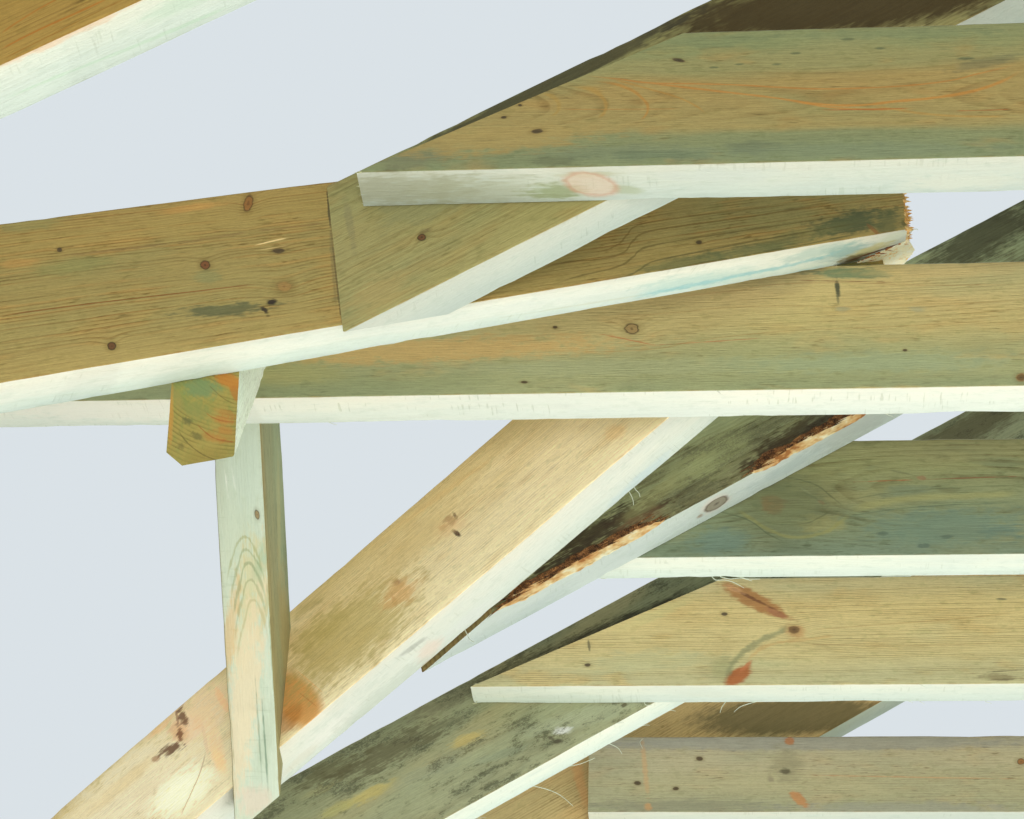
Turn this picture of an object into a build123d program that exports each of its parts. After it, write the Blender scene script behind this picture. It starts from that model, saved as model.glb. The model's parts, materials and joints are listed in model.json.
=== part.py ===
from build123d import *
import math
import os

os.makedirs("parts", exist_ok=True)

# ---------------------------------------------------------------------------
# Section of a cut timber roof at a valley, as it stands on its rafter feet.
# The main roof slopes up towards +X to its ridge and down again on the other
# side; a wing roof, with its ridge along X, runs into the left slope between
# two valley rafters. Level ceiling joists are fixed to the sides of the
# common rafters. Every timber is a separate solid.
#
# Setting-out frame of the dimensions below: x = 0 at the lower left tip of
# the first joist, y = 0 at its front face, z = 0 at the joists' undersides.
# at() turns a setting-out point into the part's own frame, whose origin is
# at the middle of the whole footprint, on the floor.
# ---------------------------------------------------------------------------

# stock
timber_thickness = 50.0
timber_depth = 150.0
shallow_depth = 113.0        # the last joist, the jack rafters and the wing ridge board
ridge_thickness = 38.0
ridge_depth = 175.0
wing_ridge_thickness = 32.0

# pitches
roof_pitch = 31.1
wing_pitch = 46.0
valley_lean = 5.0            # the near valley rafter stands this far out of plumb

# levels and lengths
joist_height = 1350.0        # joist undersides above the floor
joist_length = 2400.0
through_joist_length = 3000.0
ridge_length = 2100.0
footprint_centre = (1186.57, 365.37)

# front faces of the joists, along y
joist_1_y = 0.0
joist_2_y = 361.3
joist_3_y = 704.1
joist_4_y = 1033.4
joist_5_y = 1434.5
joist_5_start = 125.0        # the last joist stops short, square cut
joist_end_slope = 27.5       # the cut on the sloping joist ends
joist_4_end_slope = 25.3

# front faces of the common rafters, along y, and how far each sits off the line
rafter_0_y = -416.0
rafter_0_rise = 3.4
rafter_1_y = joist_1_y + timber_thickness
rafter_1_rise = 0.0
rafter_3_y = joist_3_y - timber_thickness
rafter_3_rise = -4.0
rafter_3_foot = (65.0, -15.5)   # x of its foot's lower corners, front and back, clear of the valley rafter
rafter_4_y = joist_4_y + timber_thickness
rafter_4_rise = -7.0
rafter_5_y = joist_5_y + timber_thickness
rafter_5_rise = -7.0
rafter_2_right_y = joist_2_y + timber_thickness
rafter_underside_x = 214.0   # where a rafter's underside crosses z = 0

# valley rafters: a point on the lower front edge of each
near_valley_point = (0.0, 55.9, -120.4)
far_valley_point = (0.0, 620.0, -120.7)
valley_top_x = 512.0         # the near one's head is cut square to the main roof here

# wing timbers
wing_ridge_y = joist_2_y + timber_thickness / 2   # middle of the board, which stands on the second joist
wing_ridge_left = -225.0     # just past the jack rafters' heads
near_jack_corner = (-91.4, 52.3, -256.3)   # lower right corner of the foot
near_jack_skew = 8.3         # set off square in plan, its top further left
near_jack_lean = 4.5         # its section is turned, top to the left
near_jack_wane = (13.5, 11.0)              # lower left corner missing: across, up
near_jack_thickness = 54.0
far_jack_left = -219.5
far_jack_thickness = 52.0
far_jack_point = (731.0, -252.5)           # y, z of a point on its underside
far_jack_pitch = 46.8
far_jack_overrun = 23.0      # how far the foot runs on under the valley rafter

# ---------------------------------------------------------------------------
# derived directions, lines and planes
# ---------------------------------------------------------------------------
t = timber_thickness
d = timber_depth
tan_p = math.tan(math.radians(roof_pitch))
cos_p = math.cos(math.radians(roof_pitch))
tan_w = math.tan(math.radians(wing_pitch))
ridge_x = joist_length / 2
rafter_plumb = d / cos_p
valley_run = tan_p / tan_w   # sideways run of a valley for each unit along x


def at(x, y, z):
    return Vector(x - footprint_centre[0], y - footprint_centre[1], z + joist_height)


def flat(points):
    """Side-view points (x, z) in the part's frame."""
    return [(x - footprint_centre[0], z + joist_height) for x, z in points]


def side_plane(y):
    """Vertical plane at the back face of a timber whose front face is at y."""
    return Plane.XZ.offset(-(y + t - footprint_centre[1]))


def underside(x, rise=0.0):
    return (x - rafter_underside_x) * tan_p + rise


def valley_axes(side, lean):
    """Unit vectors of a valley rafter: along, across (to the back), up."""
    along = Vector(1, side * valley_run, tan_p).normalized()
    across = Vector(-side * valley_run, 1, 0).normalized()
    up = along.cross(across)
    a = math.radians(lean)
    return along, across * math.cos(a) - up * math.sin(a), across * math.sin(a) + up * math.cos(a)


near_along, near_across, near_up = valley_axes(1, valley_lean)
far_along, far_across, far_up = valley_axes(-1, 0.0)
near_point = at(*near_valley_point)
far_point = at(*far_valley_point)

floor_plane = Plane(origin=(0, 0, 0), x_dir=(1, 0, 0), z_dir=(0, 0, 1))
near_valley_front = Plane(origin=near_point, x_dir=near_along, z_dir=near_across * -1)
near_valley_back = Plane(origin=near_point + near_across * t, x_dir=near_along, z_dir=near_across)
far_valley_front = Plane(origin=far_point, x_dir=far_along, z_dir=far_across * -1)
far_valley_back = Plane(origin=far_point + far_across * t, x_dir=far_along, z_dir=far_across)

valley_below = (joist_height + 60.0) / near_along.Z   # along a valley, to well below the floor
valley_above = (valley_top_x + 120.0) / near_along.X


def joist_profile(start, length, depth, slope):
    """Side of a joist with both ends cut to the roof slope."""
    run = depth / math.tan(math.radians(slope))
    return flat([(start, 0), (start + length, 0), (start + length - run, depth), (start + run, depth)])


def left_rafter_profile(rise, foot_x):
    """Side of a rafter from beyond its foot up to the ridge board."""
    top_x = ridge_x - ridge_thickness / 2
    return flat([
        (foot_x, underside(foot_x, rise)),
        (top_x, underside(top_x, rise)),
        (top_x, underside(top_x, rise) + rafter_plumb),
        (foot_x, underside(foot_x, rise) + rafter_plumb),
    ])


def right_rafter_profile():
    """Side of a rafter of the far slope, from the ridge board to a level foot."""
    top_x = ridge_x + ridge_thickness / 2
    under_top = underside(2 * ridge_x - top_x)
    foot_under = top_x + (under_top + joist_height) / tan_p
    foot_over = foot_under + rafter_plumb / tan_p
    return flat([
        (top_x, under_top),
        (foot_under, -joist_height),
        (foot_over, -joist_height),
        (top_x, under_top + rafter_plumb),
    ])


# ---------------------------------------------------------------------------
# ceiling joists
# ---------------------------------------------------------------------------
with BuildPart() as ceiling_joist_1:
    with BuildSketch(side_plane(joist_1_y)):
        with BuildLine():
            Polyline(*joist_profile(0, joist_length, d, joist_end_slope), close=True)
        make_face()
    extrude(amount=t)

# the second joist runs on through the wing, so its left end is out in the wing
with BuildPart() as ceiling_joist_2:
    with BuildSketch(side_plane(joist_2_y)):
        with BuildLine():
            run = d / math.tan(math.radians(joist_end_slope))
            Polyline(*flat([
                (joist_length - through_joist_length, 0),
                (joist_length, 0),
                (joist_length - run, d),
                (joist_length - through_joist_length, d),
            ]), close=True)
        make_face()
    extrude(amount=t)

with BuildPart() as ceiling_joist_3:
    with BuildSketch(side_plane(joist_3_y)):
        with BuildLine():
            Polyline(*joist_profile(0, joist_length, d, joist_end_slope), close=True)
        make_face()
    extrude(amount=t)

with BuildPart() as ceiling_joist_4:
    with BuildSketch(side_plane(joist_4_y)):
        with BuildLine():
            Polyline(*joist_profile(0, joist_length, d, joist_4_end_slope), close=True)
        make_face()
    extrude(amount=t)

# the last joist is shallower stock with plumb ends
with BuildPart() as ceiling_joist_5:
    with BuildSketch(side_plane(joist_5_y)):
        with BuildLine():
            Polyline(*flat([
                (joist_5_start, 0),
                (joist_length - joist_5_start, 0),
                (joist_length - joist_5_start, shallow_depth),
                (joist_5_start, shallow_depth),
            ]), close=True)
        make_face()
    extrude(amount=t)

# ---------------------------------------------------------------------------
# valley rafters, notched over the through joist where their heads rest on it
# ---------------------------------------------------------------------------
with BuildPart() as near_valley_rafter:
    with BuildSketch(Plane(origin=near_point - near_along * valley_below, x_dir=near_across, z_dir=near_along)):
        Rectangle(t, d, align=(Align.MIN, Align.MIN))
    extrude(amount=valley_below + valley_above)
    split(bisect_by=floor_plane, keep=Keep.TOP)
    split(bisect_by=Plane(origin=at(valley_top_x, 0, 0), x_dir=(0, 0, 1), z_dir=(-1, 0, 0)), keep=Keep.TOP)
    add(ceiling_joist_2.part, mode=Mode.SUBTRACT)

with BuildPart() as far_valley_rafter:
    with BuildSketch(Plane(origin=far_point - far_along * valley_below, x_dir=far_across, z_dir=far_along)):
        Rectangle(t, d, align=(Align.MIN, Align.MIN))
    extrude(amount=valley_below + valley_above)
    split(bisect_by=floor_plane, keep=Keep.TOP)
    split(bisect_by=near_valley_back, keep=Keep.TOP)
    add(ceiling_joist_2.part, mode=Mode.SUBTRACT)

# ---------------------------------------------------------------------------
# common rafters of the left slope: their feet are cut against the valleys
# ---------------------------------------------------------------------------
with BuildPart() as left_rafter_1:
    with BuildSketch(side_plane(rafter_0_y)):
        with BuildLine():
            Polyline(*left_rafter_profile(rafter_0_rise, -1400), close=True)
        make_face()
    extrude(amount=t)
    split(bisect_by=near_valley_front, keep=Keep.TOP)

with BuildPart() as left_rafter_2:
    with BuildSketch(side_plane(rafter_1_y)):
        with BuildLine():
            Polyline(*left_rafter_profile(rafter_1_rise, -400), close=True)
        make_face()
    extrude(amount=t)
    split(bisect_by=near_valley_front, keep=Keep.TOP)

# the third rafter's foot is cut a little short, and meets the valley rafter only at its top
foot_front = at(rafter_3_foot[0], rafter_3_y, underside(rafter_3_foot[0], rafter_3_rise))
foot_back = at(rafter_3_foot[1], rafter_3_y + t, underside(rafter_3_foot[1], rafter_3_rise))
valley_top_back = far_point + far_across * t + far_up * d
foot_top = valley_top_back + far_along * ((foot_front.Y - valley_top_back.Y) / far_along.Y)
foot_normal = (foot_top - foot_front).cross(foot_back - foot_front).normalized()
if foot_normal.X < 0:
    foot_normal = foot_normal * -1

with BuildPart() as left_rafter_3:
    with BuildSketch(side_plane(rafter_3_y)):
        with BuildLine():
            Polyline(*left_rafter_profile(rafter_3_rise, -500), close=True)
        make_face()
    extrude(amount=t)
    split(bisect_by=far_valley_back, keep=Keep.TOP)
    split(bisect_by=Plane(origin=foot_front, x_dir=(foot_back - foot_front), z_dir=foot_normal), keep=Keep.TOP)

with BuildPart() as left_rafter_4:
    with BuildSketch(side_plane(rafter_4_y)):
        with BuildLine():
            Polyline(*left_rafter_profile(rafter_4_rise, -1300), close=True)
        make_face()
    extrude(amount=t)
    split(bisect_by=far_valley_back, keep=Keep.TOP)

with BuildPart() as left_rafter_5:
    with BuildSketch(side_plane(rafter_5_y)):
        with BuildLine():
            Polyline(*left_rafter_profile(rafter_5_rise, -1900), close=True)
        make_face()
    extrude(amount=t)
    split(bisect_by=far_valley_back, keep=Keep.TOP)

# ---------------------------------------------------------------------------
# main ridge board and the common rafters of the right slope
# ---------------------------------------------------------------------------
ridge_top = underside(ridge_x - ridge_thickness / 2) + rafter_plumb
with BuildPart() as main_ridge_board:
    with BuildSketch(Plane.XZ.offset(-(rafter_0_y - 50 + ridge_length - footprint_centre[1]))):
        with BuildLine():
            Polyline(*flat([
                (ridge_x - ridge_thickness / 2, ridge_top - ridge_depth),
                (ridge_x + ridge_thickness / 2, ridge_top - ridge_depth),
                (ridge_x + ridge_thickness / 2, ridge_top),
                (ridge_x - ridge_thickness / 2, ridge_top),
            ]), close=True)
        make_face()
    extrude(amount=ridge_length)

with BuildPart() as right_rafter_1:
    with BuildSketch(side_plane(rafter_0_y)):
        with BuildLine():
            Polyline(*right_rafter_profile(), close=True)
        make_face()
    extrude(amount=t)

with BuildPart() as right_rafter_2:
    with BuildSketch(side_plane(rafter_1_y)):
        with BuildLine():
            Polyline(*right_rafter_profile(), close=True)
        make_face()
    extrude(amount=t)

with BuildPart() as right_rafter_3:
    with BuildSketch(side_plane(rafter_2_right_y)):
        with BuildLine():
            Polyline(*right_rafter_profile(), close=True)
        make_face()
    extrude(amount=t)

with BuildPart() as right_rafter_4:
    with BuildSketch(side_plane(rafter_3_y)):
        with BuildLine():
            Polyline(*right_rafter_profile(), close=True)
        make_face()
    extrude(amount=t)

with BuildPart() as right_rafter_5:
    with BuildSketch(side_plane(rafter_4_y)):
        with BuildLine():
            Polyline(*right_rafter_profile(), close=True)
        make_face()
    extrude(amount=t)

with BuildPart() as right_rafter_6:
    with BuildSketch(side_plane(rafter_5_y)):
        with BuildLine():
            Polyline(*right_rafter_profile(), close=True)
        make_face()
    extrude(amount=t)

# ---------------------------------------------------------------------------
# wing ridge board on the second joist, pointed between the valley rafters
# ---------------------------------------------------------------------------
with BuildPart() as wing_ridge_board:
    with BuildSketch(Plane.XZ.offset(-(wing_ridge_y + wing_ridge_thickness / 2 - footprint_centre[1]))):
        with BuildLine():
            Polyline(*flat([
                (wing_ridge_left, d),
                (valley_top_x, d),
                (valley_top_x, d + shallow_depth),
                (wing_ridge_left, d + shallow_depth),
            ]), close=True)
        make_face()
    extrude(amount=wing_ridge_thickness)
    split(bisect_by=near_valley_back, keep=Keep.TOP)
    split(bisect_by=far_valley_front, keep=Keep.TOP)

# ---------------------------------------------------------------------------
# jack rafters of the wing, one on each slope, cut around the second joist
# ---------------------------------------------------------------------------
skew = math.tan(math.radians(near_jack_skew))
jack_along = Vector(-skew, 1, tan_w * math.sqrt(1 + skew * skew)).normalized()
jack_left = Vector(-1, -skew, 0).normalized()
jack_top = jack_along.cross(jack_left)
lean = math.radians(near_jack_lean)
jack_across = jack_left * math.cos(lean) - jack_top * math.sin(lean)
with BuildPart() as near_jack_rafter:
    with BuildSketch(Plane(origin=at(*near_jack_corner) - jack_along * 250, x_dir=jack_across, z_dir=jack_along)):
        with BuildLine():
            Polyline(
                (0, 0),
                (near_jack_thickness - near_jack_wane[0], 0),
                (near_jack_thickness, near_jack_wane[1]),
                (near_jack_thickness, shallow_depth),
                (0, shallow_depth),
                close=True)
        make_face()
    extrude(amount=1000)
    split(bisect_by=near_valley_back, keep=Keep.TOP)
    split(bisect_by=Plane(origin=at(0, wing_ridge_y - wing_ridge_thickness / 2, 0), x_dir=(1, 0, 0), z_dir=(0, -1, 0)),
          keep=Keep.TOP)
    add(ceiling_joist_2.part, mode=Mode.SUBTRACT)

tan_f = math.tan(math.radians(far_jack_pitch))
cos_f = math.cos(math.radians(far_jack_pitch))
far_foot_y = far_jack_point[0] + 160
far_head_y = wing_ridge_y + wing_ridge_thickness / 2


def far_jack_under(y):
    """Height of the far jack's underside at a setting-out y."""
    return far_jack_point[1] - (y - far_jack_point[0]) * tan_f


def far_jack_corner(y, up):
    """Point of its side, in the part's frame."""
    return (y - footprint_centre[1], far_jack_under(y) + joist_height + up)


with BuildPart() as far_jack_rafter:
    with BuildSketch(Plane(origin=(far_jack_left - footprint_centre[0], 0, 0), x_dir=(0, 1, 0), z_dir=(1, 0, 0))):
        with BuildLine():
            Polyline(
                far_jack_corner(far_head_y, 0),
                far_jack_corner(far_foot_y, 0),
                far_jack_corner(far_foot_y, shallow_depth / cos_f),
                far_jack_corner(far_head_y, shallow_depth / cos_f),
                close=True)
        make_face()
    extrude(amount=far_jack_thickness)
    split(bisect_by=Plane(origin=far_point + far_across * far_jack_overrun, x_dir=far_along, z_dir=far_across * -1),
          keep=Keep.TOP)
    add(far_valley_rafter.part, mode=Mode.SUBTRACT)
    add(ceiling_joist_2.part, mode=Mode.SUBTRACT)

# ---------------------------------------------------------------------------
# names and files
# ---------------------------------------------------------------------------
ceiling_joist_1.part.label = "ceiling_joist_1"
ceiling_joist_2.part.label = "ceiling_joist_2"
ceiling_joist_3.part.label = "ceiling_joist_3"
ceiling_joist_4.part.label = "ceiling_joist_4"
ceiling_joist_5.part.label = "ceiling_joist_5"
near_valley_rafter.part.label = "near_valley_rafter"
far_valley_rafter.part.label = "far_valley_rafter"
left_rafter_1.part.label = "left_rafter_1"
left_rafter_2.part.label = "left_rafter_2"
left_rafter_3.part.label = "left_rafter_3"
left_rafter_4.part.label = "left_rafter_4"
left_rafter_5.part.label = "left_rafter_5"
main_ridge_board.part.label = "main_ridge_board"
right_rafter_1.part.label = "right_rafter_1"
right_rafter_2.part.label = "right_rafter_2"
right_rafter_3.part.label = "right_rafter_3"
right_rafter_4.part.label = "right_rafter_4"
right_rafter_5.part.label = "right_rafter_5"
right_rafter_6.part.label = "right_rafter_6"
wing_ridge_board.part.label = "wing_ridge_board"
near_jack_rafter.part.label = "near_jack_rafter"
far_jack_rafter.part.label = "far_jack_rafter"

export_step(ceiling_joist_1.part, "parts/ceiling_joist_1.step")
export_step(ceiling_joist_2.part, "parts/ceiling_joist_2.step")
export_step(ceiling_joist_3.part, "parts/ceiling_joist_3.step")
export_step(ceiling_joist_4.part, "parts/ceiling_joist_4.step")
export_step(ceiling_joist_5.part, "parts/ceiling_joist_5.step")
export_step(near_valley_rafter.part, "parts/near_valley_rafter.step")
export_step(far_valley_rafter.part, "parts/far_valley_rafter.step")
export_step(left_rafter_1.part, "parts/left_rafter_1.step")
export_step(left_rafter_2.part, "parts/left_rafter_2.step")
export_step(left_rafter_3.part, "parts/left_rafter_3.step")
export_step(left_rafter_4.part, "parts/left_rafter_4.step")
export_step(left_rafter_5.part, "parts/left_rafter_5.step")
export_step(main_ridge_board.part, "parts/main_ridge_board.step")
export_step(right_rafter_1.part, "parts/right_rafter_1.step")
export_step(right_rafter_2.part, "parts/right_rafter_2.step")
export_step(right_rafter_3.part, "parts/right_rafter_3.step")
export_step(right_rafter_4.part, "parts/right_rafter_4.step")
export_step(right_rafter_5.part, "parts/right_rafter_5.step")
export_step(right_rafter_6.part, "parts/right_rafter_6.step")
export_step(wing_ridge_board.part, "parts/wing_ridge_board.step")
export_step(near_jack_rafter.part, "parts/near_jack_rafter.step")
export_step(far_jack_rafter.part, "parts/far_jack_rafter.step")
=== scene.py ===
import json
import math

import bmesh
import bpy
import numpy as np
from mathutils import Matrix, Vector, noise

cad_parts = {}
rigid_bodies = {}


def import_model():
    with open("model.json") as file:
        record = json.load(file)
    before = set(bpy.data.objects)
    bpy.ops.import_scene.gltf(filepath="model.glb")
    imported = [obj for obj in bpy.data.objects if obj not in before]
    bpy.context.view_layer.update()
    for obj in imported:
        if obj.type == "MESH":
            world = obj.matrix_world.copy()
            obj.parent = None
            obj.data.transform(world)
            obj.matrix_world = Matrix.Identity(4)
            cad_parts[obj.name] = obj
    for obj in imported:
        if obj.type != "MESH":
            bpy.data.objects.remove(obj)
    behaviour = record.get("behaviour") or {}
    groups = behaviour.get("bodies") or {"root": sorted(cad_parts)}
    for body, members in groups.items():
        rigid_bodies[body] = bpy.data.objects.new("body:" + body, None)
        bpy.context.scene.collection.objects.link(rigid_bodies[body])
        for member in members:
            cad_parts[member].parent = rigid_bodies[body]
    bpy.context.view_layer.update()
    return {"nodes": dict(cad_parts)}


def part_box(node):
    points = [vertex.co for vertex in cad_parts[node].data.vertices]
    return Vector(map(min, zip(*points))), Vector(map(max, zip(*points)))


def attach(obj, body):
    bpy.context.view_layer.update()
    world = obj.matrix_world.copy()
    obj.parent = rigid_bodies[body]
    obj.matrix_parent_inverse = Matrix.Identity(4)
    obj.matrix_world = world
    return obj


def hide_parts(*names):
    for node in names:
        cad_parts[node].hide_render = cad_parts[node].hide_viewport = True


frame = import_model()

nodes = frame["nodes"]

# ---------------------------------------------------------------------------
# Setting-out numbers, as in the part's source, in metres
# ---------------------------------------------------------------------------
FC = np.array([1.18657, 0.36537, -1.350])
T, D, SHALLOW = 0.050, 0.150, 0.113
TP = math.tan(math.radians(31.1))
CP, SP = math.cos(math.radians(31.1)), math.sin(math.radians(31.1))
TW = math.tan(math.radians(46.0))
RUN = TP / TW


def at(x, y, z):
    return np.array([x, y, z]) - FC


def unit(v):
    v = np.array(v, float)
    return v / np.linalg.norm(v)


# ---------------------------------------------------------------------------
# Camera, at the photograph's place, and rays through points of its 1024 x 819 frame
# ---------------------------------------------------------------------------
F_PX = 2345.1
CAM = at(0.3087, -1.5988, -1.2573)
PSI, EL, ROLL = (math.radians(a) for a in (-5.849, 32.16, -2.219))
FWD = np.array([math.sin(PSI) * math.cos(EL), math.cos(PSI) * math.cos(EL), math.sin(EL)])
RT0 = np.array([math.cos(PSI), -math.sin(PSI), 0.0])
UP0 = np.cross(RT0, FWD)
RIGHT = RT0 * math.cos(ROLL) - UP0 * math.sin(ROLL)
UPV = RT0 * math.sin(ROLL) + UP0 * math.cos(ROLL)


def ray(px, py):
    return unit(FWD + RIGHT * (px - 512.0) / F_PX + UPV * (409.5 - py) / F_PX)


cam_data = bpy.data.cameras.new("camera")
cam_data.sensor_fit = "HORIZONTAL"
cam_data.sensor_width = 36.0
cam_data.lens = F_PX / 1024.0 * 36.0
cam_data.clip_start = 0.02
cam_data.clip_end = 100.0
cam = bpy.data.objects.new("camera", cam_data)
bpy.context.scene.collection.objects.link(cam)
m = Matrix.Identity(4)
for i in range(3):
    m[i][0], m[i][1], m[i][2], m[i][3] = RIGHT[i], UPV[i], -FWD[i], CAM[i]
cam.matrix_world = m
bpy.context.scene.camera = cam


# ---------------------------------------------------------------------------
# Timbers: a point on the lower front edge, and directions along, across, up
# ---------------------------------------------------------------------------
class Timber:
    def __init__(self, node, origin, along, across, t=T, d=D, step=0.014, slot="joist_timber"):
        self.node, self.o = node, np.array(origin, float)
        self.u, self.w = unit(along), unit(across)
        self.v = np.cross(self.u, self.w)
        self.t, self.d, self.step, self.slot = t, d, step, slot

    def local(self, p):
        q = np.array(p, float) - self.o
        return np.array([q @ self.u, q @ self.w, q @ self.v])

    def meet(self, axis, off, px, py):
        """Where the ray through a picture point meets a plane across or up this timber."""
        n, r = getattr(self, axis), ray(px, py)
        k = (off - (CAM - self.o) @ n) / (r @ n)
        return self.local(CAM + k * r)

    def see(self, face, px, py):
        """Where the ray through a picture point meets a face, in this timber's own directions."""
        axis, off = {"b": ("w", 0.0), "f": ("w", self.t), "e": ("v", 0.0), "t": ("v", self.d)}[face]
        return self.meet(axis, off, px, py)


def joist(i, y, d=D):
    return Timber("ceiling_joist_%d" % i, at(0, y, 0), (1, 0, 0), (0, 1, 0), d=d)


def left_rafter(i, y, rise):
    return Timber("left_rafter_%d" % i, at(0.214, y, rise), (1, 0, TP), (0, 1, 0), slot="rafter_timber")


def right_rafter(i, y):
    return Timber("right_rafter_%d" % i, at(2.4 - 0.214, y + T, 0), (-1, 0, TP), (0, -1, 0), slot="rafter_timber", step=0.04)


def valley(node, point, side, lean):
    along = unit((1, side * RUN, TP))
    across = unit((-side * RUN, 1, 0))
    up = np.cross(along, across)
    a = math.radians(lean)
    return Timber(node, at(*point), along, across * math.cos(a) - up * math.sin(a), slot="valley_timber")


skew = math.tan(math.radians(8.3))
jack_along = unit((-skew, 1, TW * math.sqrt(1 + skew * skew)))
jack_left = unit((-1, -skew, 0))
jack_top = np.cross(jack_along, jack_left)
jl = math.radians(4.5)
jack_across = jack_left * math.cos(jl) - jack_top * math.sin(jl)
tan_f = math.tan(math.radians(46.8))

J1, J2 = joist(1, 0.0), joist(2, 0.3613)
J3, J4 = joist(3, 0.7041), joist(4, 1.0334)
J5 = joist(5, 1.4345, SHALLOW)
A = left_rafter(1, -0.416, 0.0034)
R1 = left_rafter(2, 0.050, 0.0)
H = left_rafter(3, 0.6541, -0.004)
R4 = left_rafter(4, 1.0834, -0.007)
R5 = left_rafter(5, 1.4845, -0.007)
C = valley("near_valley_rafter", (0, 0.0559, -0.1204), 1, 5.0)
G = valley("far_valley_rafter", (0, 0.620, -0.1207), -1, 0.0)
E = Timber("near_jack_rafter", at(-0.0914, 0.0523, -0.2563), jack_along, jack_across, t=0.054, d=SHALLOW, slot="jack_timber", step=0.008)
F = Timber("far_jack_rafter", at(-0.2195, 0.731, -0.2525), (0, -1, tan_f), (1, 0, 0), t=0.052, d=SHALLOW, slot="jack_timber", step=0.008)
RB = Timber("main_ridge_board", at(1.2 + 0.019, -0.466, 0.0), (0, 1, 0), (-1, 0, 0), t=0.038, d=0.175, slot="ridge_timber", step=0.03)
RB.o[2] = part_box("main_ridge_board")[0].z
WR = Timber("wing_ridge_board", at(-0.225, 0.3863 - 0.016, 0.150), (1, 0, 0), (0, 1, 0), t=0.032, d=SHALLOW, slot="ridge_timber")
RIGHTS = [right_rafter(i + 1, y) for i, y in enumerate((-0.416, 0.050, 0.4113, 0.6541, 1.0834, 1.4845))]
TIMBERS = [J1, J2, J3, J4, J5, A, R1, H, R4, R5, C, G, E, F, RB, WR] + RIGHTS


# ---------------------------------------------------------------------------
# Timber meshes: sawn section with worn arrises, swept along, cut to the node's planes
# ---------------------------------------------------------------------------
def planes_of(tim):
    """Outer planes of the CAD node, in the timber's own directions, without its four long faces."""
    me = nodes[tim.node].data
    co = np.array([v.co for v in me.vertices])
    loc = np.stack([(co - tim.o) @ tim.u, (co - tim.o) @ tim.w, (co - tim.o) @ tim.v], 1)
    found = []
    for p in me.polygons:
        a, b, c = (loc[i] for i in list(p.vertices)[:3])
        n = np.cross(b - a, c - a)
        if np.linalg.norm(n) < 1e-12:
            continue
        n = n / np.linalg.norm(n)
        off = float(n @ a)
        if (loc @ n).max() > off + 3e-4:
            continue
        if abs(n[1]) > 0.998 or abs(n[2]) > 0.998:
            continue
        if all(abs(n @ q[0] - 1) > 1e-4 or abs(off - q[1]) > 1e-4 for q in found):
            found.append((n, off))
    return found, loc


def section(t, d, r, nt, nd, arc=3, extra=()):
    """Points round a t by d section with rounded arrises, with how near each is to an arris."""
    pts = []
    corners = [((0, 0), (r, r), 180), ((t, 0), (t - r, r), 270), ((t, d), (t - r, d - r), 0), ((0, d), (r, d - r), 90)]
    sides = [nt, nd, nt, nd]
    for k in range(4):
        _, (cx, cy), a0 = corners[k]
        for j in range(arc + 1):
            a = math.radians(a0 + 90.0 * j / arc)
            pts.append((cx + r * math.cos(a), cy + r * math.sin(a), 1.0))
        _, (nx, ny), b0 = corners[(k + 1) % 4]
        a = math.radians(a0 + 90.0)
        sx, sy = cx + r * math.cos(a), cy + r * math.sin(a)
        b = math.radians(b0)
        ex, ey = nx + r * math.cos(b), ny + r * math.sin(b)
        fs = {round(j / sides[k], 6) for j in range(1, sides[k])} | {f for (kk, f) in extra if kk == k}
        for f in sorted(fs):
            pts.append((sx + (ex - sx) * f, sy + (ey - sy) * f, 0.0))
    return pts


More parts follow.
